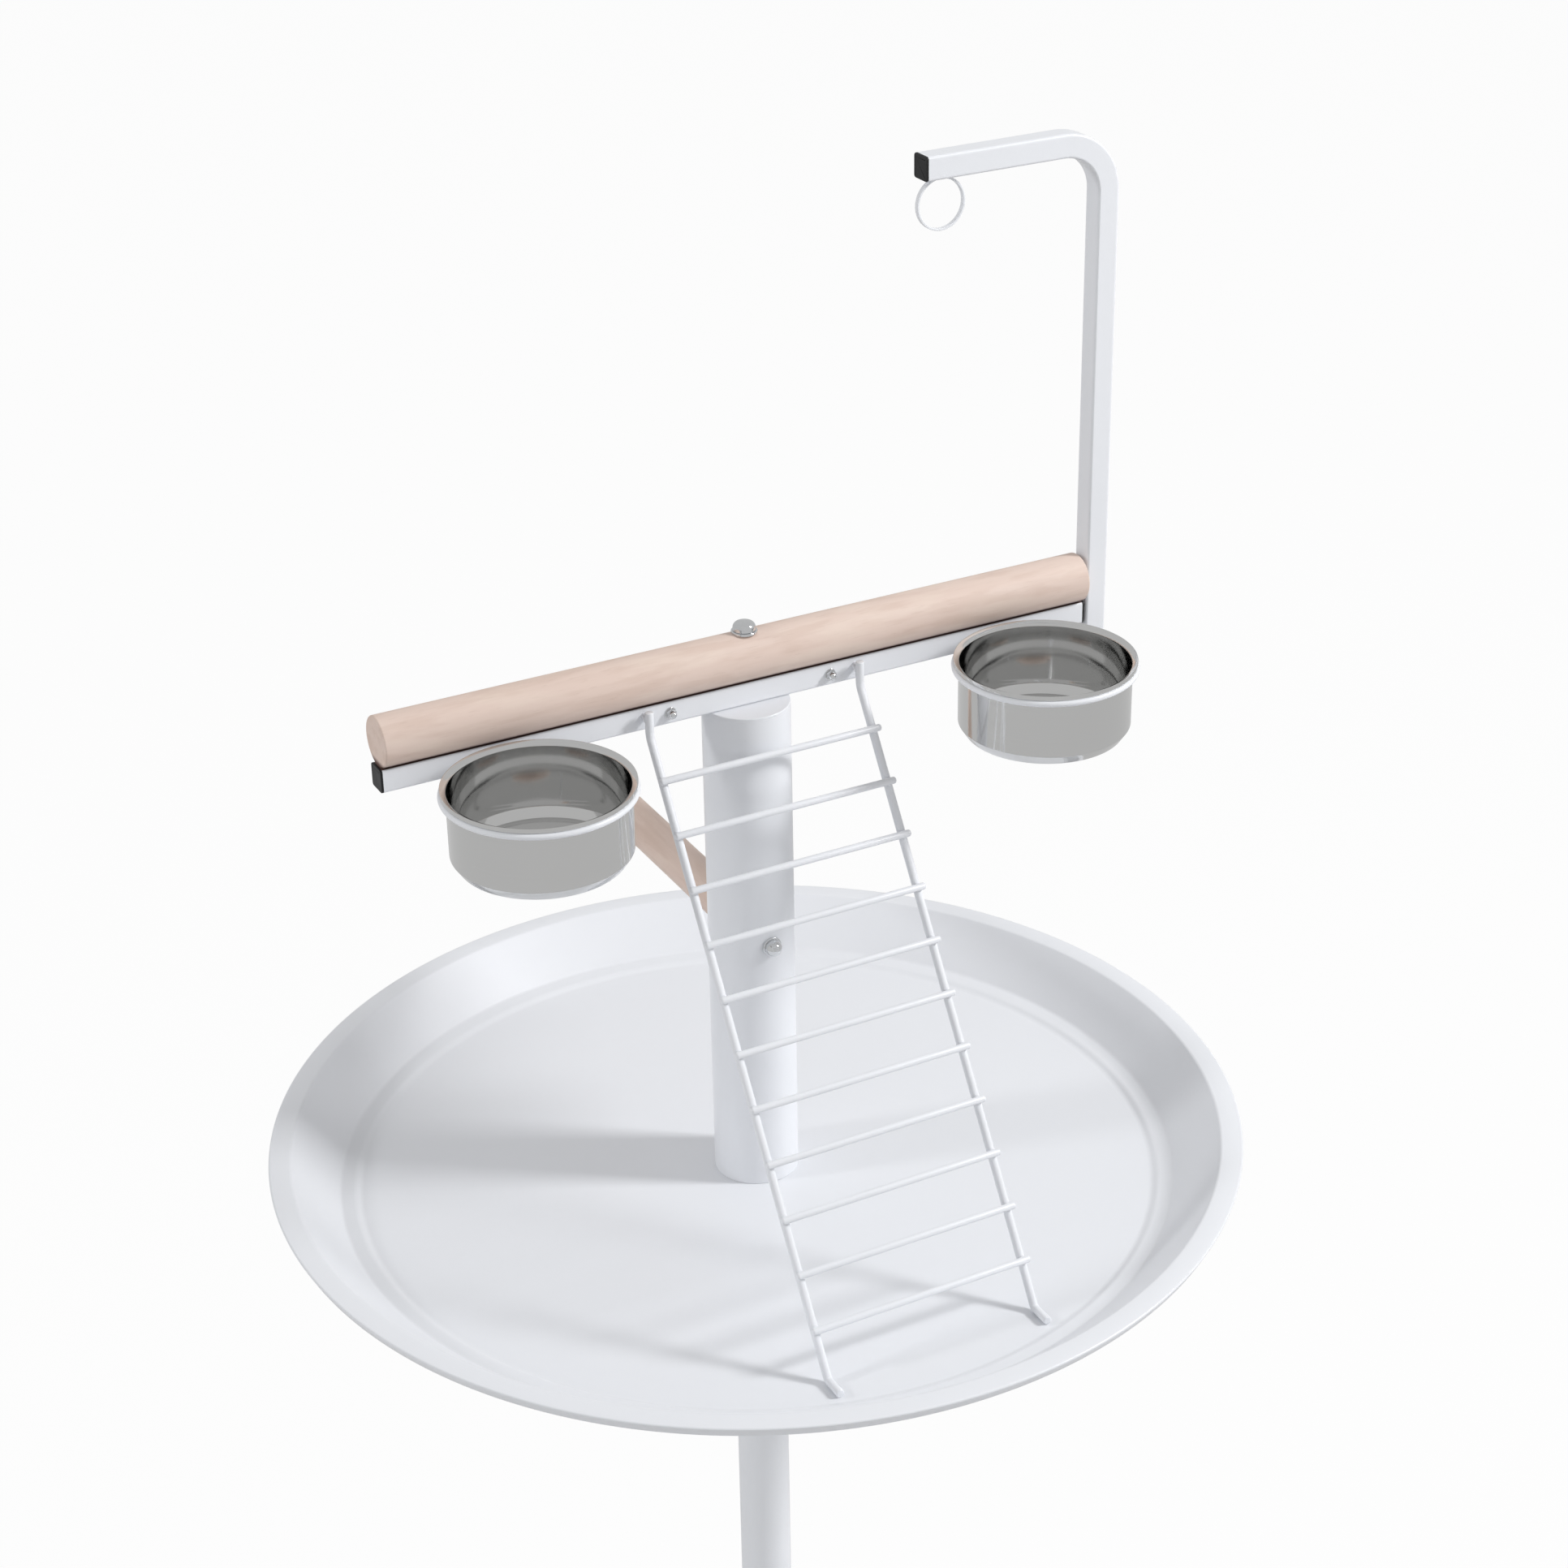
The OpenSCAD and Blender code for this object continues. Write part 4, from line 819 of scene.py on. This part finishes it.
collar_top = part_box("tray_collar")[1].z
flange_thick, socket_r, weld_size = 3 * mm, 22.5 * mm, 2.2 * mm
flange_weld = weld_ring((0, 0, collar_top - flange_thick), down, socket_r, weld_size)
collar = joined(softened("tray_collar", 0.7 * mm, 3), flange_weld)
piece("tray_collar_flange", collar, white_coat, stands_for=["tray_collar"])
piece("rear_saddle", softened("saddle_bracket", 0.35 * mm), bright_zinc, stands_for=["saddle_bracket"])
piece("post_bush_rings", softened("post_bushes", 0.4 * mm), black_plastic, stands_for=["post_bushes"])

# %% [markdown]
# ## Base
# Four square legs run out from a socket tube, under a round plate that is screwed to them. The
# socket is welded to the plate. The thin post stands in the socket, held by a cross bolt.

# %% Base shapes
plate_low, plate_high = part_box("base_plate")
socket_low, socket_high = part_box("base_socket")
socket_weld = weld_ring((0, 0, plate_high.z), up, socket_r, weld_size)
socket = joined(softened("base_socket", 0.5 * mm), socket_weld)
piece("base_socket_tube", socket, white_coat, stands_for=["base_socket"])
piece("base_round_plate", softened("base_plate", 0.8 * mm, 3), white_coat, stands_for=["base_plate"])
leg_half = 12.5 * mm
leg_dirs = [Vector((cos(radians(45 + 90 * k)), sin(radians(45 + 90 * k)), 0)) for k in range(4)]
leg_mid_z = (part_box("leg_1")[0].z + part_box("leg_1")[1].z) / 2
for k in range(4):
    piece(f"base_leg_{k + 1}", softened(f"leg_{k + 1}", 0.3 * mm), white_coat, stands_for=[f"leg_{k + 1}"])
screw_low, screw_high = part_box("base_screws")
head_r, head_h = 6 * mm, 3.5 * mm
screw_at = (screw_high.x - head_r) / leg_dirs[0].x
heads, shanks = [], []
for direction in leg_dirs:
    seat = direction * screw_at + Vector((0, 0, plate_high.z))
    heads.append(domed(seat, up, head_r, head_h, skirt=0.3))
    shanks.append(rod(direction * screw_at + Vector((0, 0, screw_low.z)), seat, bolt_r))
piece("base_screw_heads", joined(*heads, *shanks), bright_zinc, stands_for=["base_screws"])
bolt_low, bolt_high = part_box("base_bolt")
cross_z = (bolt_low.z + bolt_high.z) / 2
cross_bolt = joined(domed((socket_high.x, 0, cross_z), (1, 0, 0), head_r, head_h, skirt=0.3),
                    rod((bolt_low.x, 0, cross_z), (socket_high.x, 0, cross_z), bolt_r))
piece("base_cross_bolt", cross_bolt, bright_zinc, stands_for=["base_bolt"])
piece("base_cross_nut", hexagon((socket_low.x, 0, cross_z), (-1, 0, 0), 10 * mm, 4.6 * mm), bright_zinc,
      stands_for=["base_nut"])

# %% Leg plugs
leg_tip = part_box("leg_1")[1].x
leg_end = (leg_tip - leg_half * leg_dirs[0].x) / leg_dirs[0].x
leg_plugs = [plug(direction * leg_end + Vector((0, 0, leg_mid_z)), direction, width=2 * leg_half,
                  corner=2 * mm, wall=1.6 * mm) for direction in leg_dirs]
piece("leg_end_plugs", joined(*leg_plugs), black_plastic, stands_for=["leg_caps"])
print("leg tips at", round(leg_end, 4))

# %% [markdown]
# ## Casters
# A caster has a swivel head with a ball race, a pressed fork, an axle with a hexagon head and a
# moulded wheel. The tyre has round shoulders and two fine grooves, and the hub has six ribs on
# each side. Forks turn on the stems and wheels turn in the forks, so each rides on its own body.

# %% Caster heads
stem_low, stem_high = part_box("caster_stems")
race_r, plate_r, stem_r, plate_thick = 15 * mm, 8.5 * mm, 5 * mm, 2 * mm
race_top_z, race_low_z, stem_top_z = leg_mid_z - leg_half, leg_mid_z - 15.0 * mm, leg_mid_z - 1.5 * mm
caster_at = stem_high.x / leg_dirs[0].x - race_r / leg_dirs[0].x
race = [(0, race_top_z, 0), (race_r, race_top_z, 0.5 * mm), (race_r, race_low_z + 0.8 * mm, 0.6 * mm),
        (race_r - 1.4 * mm, race_low_z, 0.3 * mm), (0, race_low_z, 0)]
stems = []
for direction in leg_dirs:
    at = direction * caster_at
    stems.append(lathe(race, closed=False, steps=64, matrix=Matrix.Translation(at)))
    bottom, top = at + Vector((0, 0, stem_low.z)), at + Vector((0, 0, stem_top_z))
    stems.append(rod(bottom, bottom + Vector((0, 0, plate_thick)), plate_r, 0.6 * mm, 48))
    stems.append(rod(bottom + Vector((0, 0, plate_thick / 2)), top, stem_r, 0.5 * mm))
piece("caster_swivel_heads", joined(*stems), bright_zinc, stands_for=["caster_stems"])
print("caster stems at", round(caster_at, 4))


# %% Wheel shapes
tyre_half = [(19, 8.7, 0.4), (22, 9, 0.8), (25, 6, 2.4), (25, 2.6, 0.2), (24.5, 2.2, 0), (25, 1.8, 0.2)]
hub_half = [(3.05, 9, 0.2), (7.6, 9, 0.6), (8, 3.5, 0.8), (17.4, 3.5, 0.8), (17.8, 8.3, 0.4),
            (19.05, 8.3, 0.3)]


def both_sides(half):
    """A whole outline from one half of it, which is given in millimetres."""
    there = [(radius * mm, height * mm, rounding * mm) for radius, height, rounding in half]
    return [(radius, -height, rounding) for radius, height, rounding in there] + there[::-1]


def wheel(at, axis):
    """The tyre and the hub of a wheel, as two shapes."""
    place = pointing(at, axis)
    shapes = [lathe(both_sides(hub_half), steps=64, matrix=place)]
    for turn in range(6):
        rib = bmesh.new()
        bmesh.ops.create_cube(rib, size=1)
        bmesh.ops.scale(rib, vec=(11 * mm, 1.5 * mm, 13.5 * mm), verts=rib.verts[:])
        bmesh.ops.bevel(rib, geom=rib.edges[:], affect="EDGES", offset=0.3 * mm, offset_type="OFFSET",
                        segments=2, profile=0.5, material=-1)
        bmesh.ops.translate(rib, vec=(12.7 * mm, 0, 0), verts=rib.verts[:])
        bmesh.ops.transform(rib, matrix=place @ Matrix.Rotation(turn * pi / 3, 4, "Z"), verts=rib.verts[:])
        shapes.append(rib)
    return lathe(both_sides(tyre_half), steps=96, matrix=place), joined(*shapes)


# %% Forks, axles and wheels
for k, direction in enumerate(leg_dirs, 1):
    low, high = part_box(f"caster_wheel_{k}")
    middle = (low + high) / 2
    axis = Vector((-direction.y, direction.x, 0))
    piece(f"caster_fork_{k}_sheet", softened(f"caster_fork_{k}", 0.4 * mm, 3), fork_zinc, body=f"fork_{k}",
          stands_for=[f"caster_fork_{k}"])
    half = axis * 11.6 * mm
    ends = [hexagon(middle + side * half, side * axis, 8.6 * mm, 2.4 * mm) for side in (-1, 1)]
    axle = joined(rod(middle - half, middle + half, bolt_r), *ends)
    piece(f"caster_axle_{k}_bolt", axle, bright_zinc, body=f"fork_{k}", stands_for=[f"caster_axle_{k}"])
    tyre, hub = wheel(middle, axis)
    piece(f"caster_tyre_{k}", tyre, tyre_rubber, body=f"wheel_{k}", stands_for=[f"caster_wheel_{k}"],
          weighted=False)
    piece(f"caster_hub_{k}", hub, hub_plastic, body=f"wheel_{k}")

# %% [markdown]
# ## Finishes on the rest of the solids
# The small hidden fasteners keep their solids. A finish is put into the material slots of each.

# %% Dress the solids
def dressed(finish, *names):
    """Puts a finish into every material slot of some solids."""
    for name in names:
        for place in nodes[name].material_slots:
            place.material = finish


kept_metal = ["perch_nut", "collar_screw", "saddle_screws", "cup_ring_washers", "cup_ring_nuts",
              "arm_bolt", "arm_spacer", "arm_insert", "caster_nuts"]
dressed(bright_zinc, *kept_metal)
dressed(insert_brass, "rear_perch_insert")
plain = [name for name, node in nodes.items() if not node.hide_render]
print("still plain:", [name for name in plain if name not in kept_metal + ["rear_perch_insert"]])

# %% [markdown]
# ## Floor and surroundings
# The photograph has a white ground without an edge. A big floor lies under the wheels, and the
# world behind it is white where the camera looks and a pale grey where a mirror does, because
# polished steel shows the room it stands in. For soft light the world is weaker, so the lamps still
# make shadows. The floor is mixed with the same plain glow for the camera and for mirrors, which
# keeps its shadow pale.

# %% Floor
mirror_level, camera_glow, floor_half = 0.61, 0.95, 40
floor_mesh = bmesh.new()
bmesh.ops.create_grid(floor_mesh, x_segments=1, y_segments=1, size=floor_half)
mesh = bpy.data.meshes.new("studio_floor")
floor_mesh.to_mesh(mesh)
floor_mesh.free()
studio_floor = bpy.data.objects.new("studio_floor", mesh)
bpy.context.scene.collection.objects.link(studio_floor)
ground = Finish("studio_floor_paint", roughness=0.9, specular=0.2)
ground.set("Base Color", ground.blend((0.66, 0.66, 0.66, 1), (0.70, 0.70, 0.70, 1), ground.noise(3)))
rays = ground.tree.nodes.new("ShaderNodeLightPath")
glow = ground.tree.nodes.new("ShaderNodeEmission")
mirrored = Value(ground, rays.outputs["Is Glossy Ray"])
ground.feed(glow.inputs["Color"], ground.blend((1, 1, 1, 1), shade((1, 1, 1), mirror_level), mirrored))
mirror_or_camera = Value(ground, rays.outputs["Is Camera Ray"]) * camera_glow + mirrored
mixed = ground.tree.nodes.new("ShaderNodeMixShader")
ground.feed(mixed.inputs[0], mirror_or_camera)
ground.tree.links.new(ground.shader.outputs[0], mixed.inputs[1])
ground.tree.links.new(glow.outputs[0], mixed.inputs[2])
output = next(n for n in ground.tree.nodes if n.type == "OUTPUT_MATERIAL")
ground.tree.links.new(mixed.outputs[0], output.inputs["Surface"])
mesh.materials.append(ground.material)
print("floor ready,", 2 * floor_half, "metres wide")

# %% World
world = bpy.data.worlds.new("studio")
bpy.context.scene.world = world
world.use_nodes = True
links, wn = world.node_tree.links, world.node_tree.nodes
ray = wn.new("ShaderNodeLightPath")


def surrounding(strength):
    """A plain white background of a strength."""
    made = wn.new("ShaderNodeBackground")
    made.inputs["Color"].default_value = (1, 1, 1, 1)
    made.inputs["Strength"].default_value = strength
    return made.outputs[0]


def chosen(ray_kind, without, with_ray):
    """One background for a kind of ray and another for the rest."""
    mix = wn.new("ShaderNodeMixShader")
    links.new(ray.outputs[ray_kind], mix.inputs[0])
    links.new(without, mix.inputs[1])
    links.new(with_ray, mix.inputs[2])
    return mix.outputs[0]


zenith, horizon, backdrop = 0.37, 0.95, 0.98
heading = wn.new("ShaderNodeTexCoord")
height = wn.new("ShaderNodeSeparateXYZ")
links.new(heading.outputs["Generated"], height.inputs[0])
fade = wn.new("ShaderNodeMapRange")
links.new(height.outputs["Z"], fade.inputs["Value"])
fade.inputs["To Min"].default_value = horizon
fade.inputs["To Max"].default_value = zenith
soft_sky = wn.new("ShaderNodeBackground")
links.new(fade.outputs["Result"], soft_sky.inputs["Strength"])
soft_sky.inputs["Color"].default_value = (1, 1, 1, 1)
lit = chosen("Is Glossy Ray", soft_sky.outputs[0], surrounding(mirror_level))
seen = chosen("Is Camera Ray", lit, surrounding(backdrop))
links.new(seen, wn["World Output"].inputs["Surface"])
print("world ready, from", horizon, "at the horizon to", zenith, "overhead")

# %% [markdown]
# ## Lamps
# A tall soft lamp stands at the front right and above the stand, so the shadows of the post and
# the ladder fall to the left on the tray. A weaker and lower one at the left fills the shadow side.
# Mirrors would show both as hard white spots, so the fill is hidden from mirrors and the key leaves
# out the polished cups, which have no matt part that it could light.

# %% Lamps in place
stand_middle = Vector((0, 0, 0.85))


def lamp(name, azimuth, elevation, distance, width, height, power):
    """A flat lamp that faces the middle of the stand from a direction in degrees."""
    azimuth, elevation = radians(azimuth), radians(elevation)
    level = cos(elevation)
    at = stand_middle + distance * Vector((cos(azimuth) * level, sin(azimuth) * level, sin(elevation)))
    data = bpy.data.lights.new(name, "AREA")
    data.shape = "RECTANGLE"
    data.size, data.size_y = width, height
    data.energy = power
    made = bpy.data.objects.new(name, data)
    made.matrix_world = pointing(at, at - stand_middle)
    bpy.context.scene.collection.objects.link(made)
    print(name, "at", tuple(round(v, 2) for v in at), power, "watts")
    return made


key = lamp("key", azimuth=-32, elevation=37, distance=3.2, width=0.44, height=0.74, power=66)
left_fill = lamp("left_fill", azimuth=166, elevation=29, distance=3.0, width=0.3, height=0.3, power=15)
left_fill.visible_glossy = False
polished = bpy.data.collections.new("polished_cups")
for name in ("left_cup_bowl", "right_cup_bowl"):
    polished.objects.link(bpy.data.objects[name])
for entry in polished.collection_objects:
    entry.light_linking.link_state = "EXCLUDE"
key.light_linking.receiver_collection = polished

# %% [markdown]
# ## Camera
# The camera stands at the front left, looking down, and is rolled by one degree as in the
# photograph. Its place was found from the corners and edges seen there.

# %% Camera in place
camera_at = (-0.725, -1.4334, 1.80525)
azimuth, elevation, roll = radians(-27.585), radians(27.113), radians(-1.032)
backward = Vector((sin(azimuth) * cos(elevation), -cos(azimuth) * cos(elevation), sin(elevation)))
right = (-backward).cross(Vector(up)).normalized()
upward = right.cross(-backward)
rolled_right = right * cos(roll) + upward * sin(roll)
rolled_up = upward * cos(roll) - right * sin(roll)
camera_data = bpy.data.cameras.new("photo_camera")
focal_pixels, picture_pixels, sensor_width = 3798.3, 1932, 36
camera_data.sensor_width = sensor_width
camera_data.sensor_fit = "HORIZONTAL"
camera_data.lens = focal_pixels / picture_pixels * sensor_width
camera_data.clip_end = 200
camera = bpy.data.objects.new("photo_camera", camera_data)
turn = Matrix((rolled_right, rolled_up, backward)).transposed().to_4x4()
camera.matrix_world = Matrix.Translation(camera_at) @ turn
bpy.context.scene.collection.objects.link(camera)
bpy.context.scene.camera = camera
bpy.context.scene.view_settings.view_transform = "Standard"
print("camera at", camera_at, "with a lens of", round(camera_data.lens, 2), "mm")
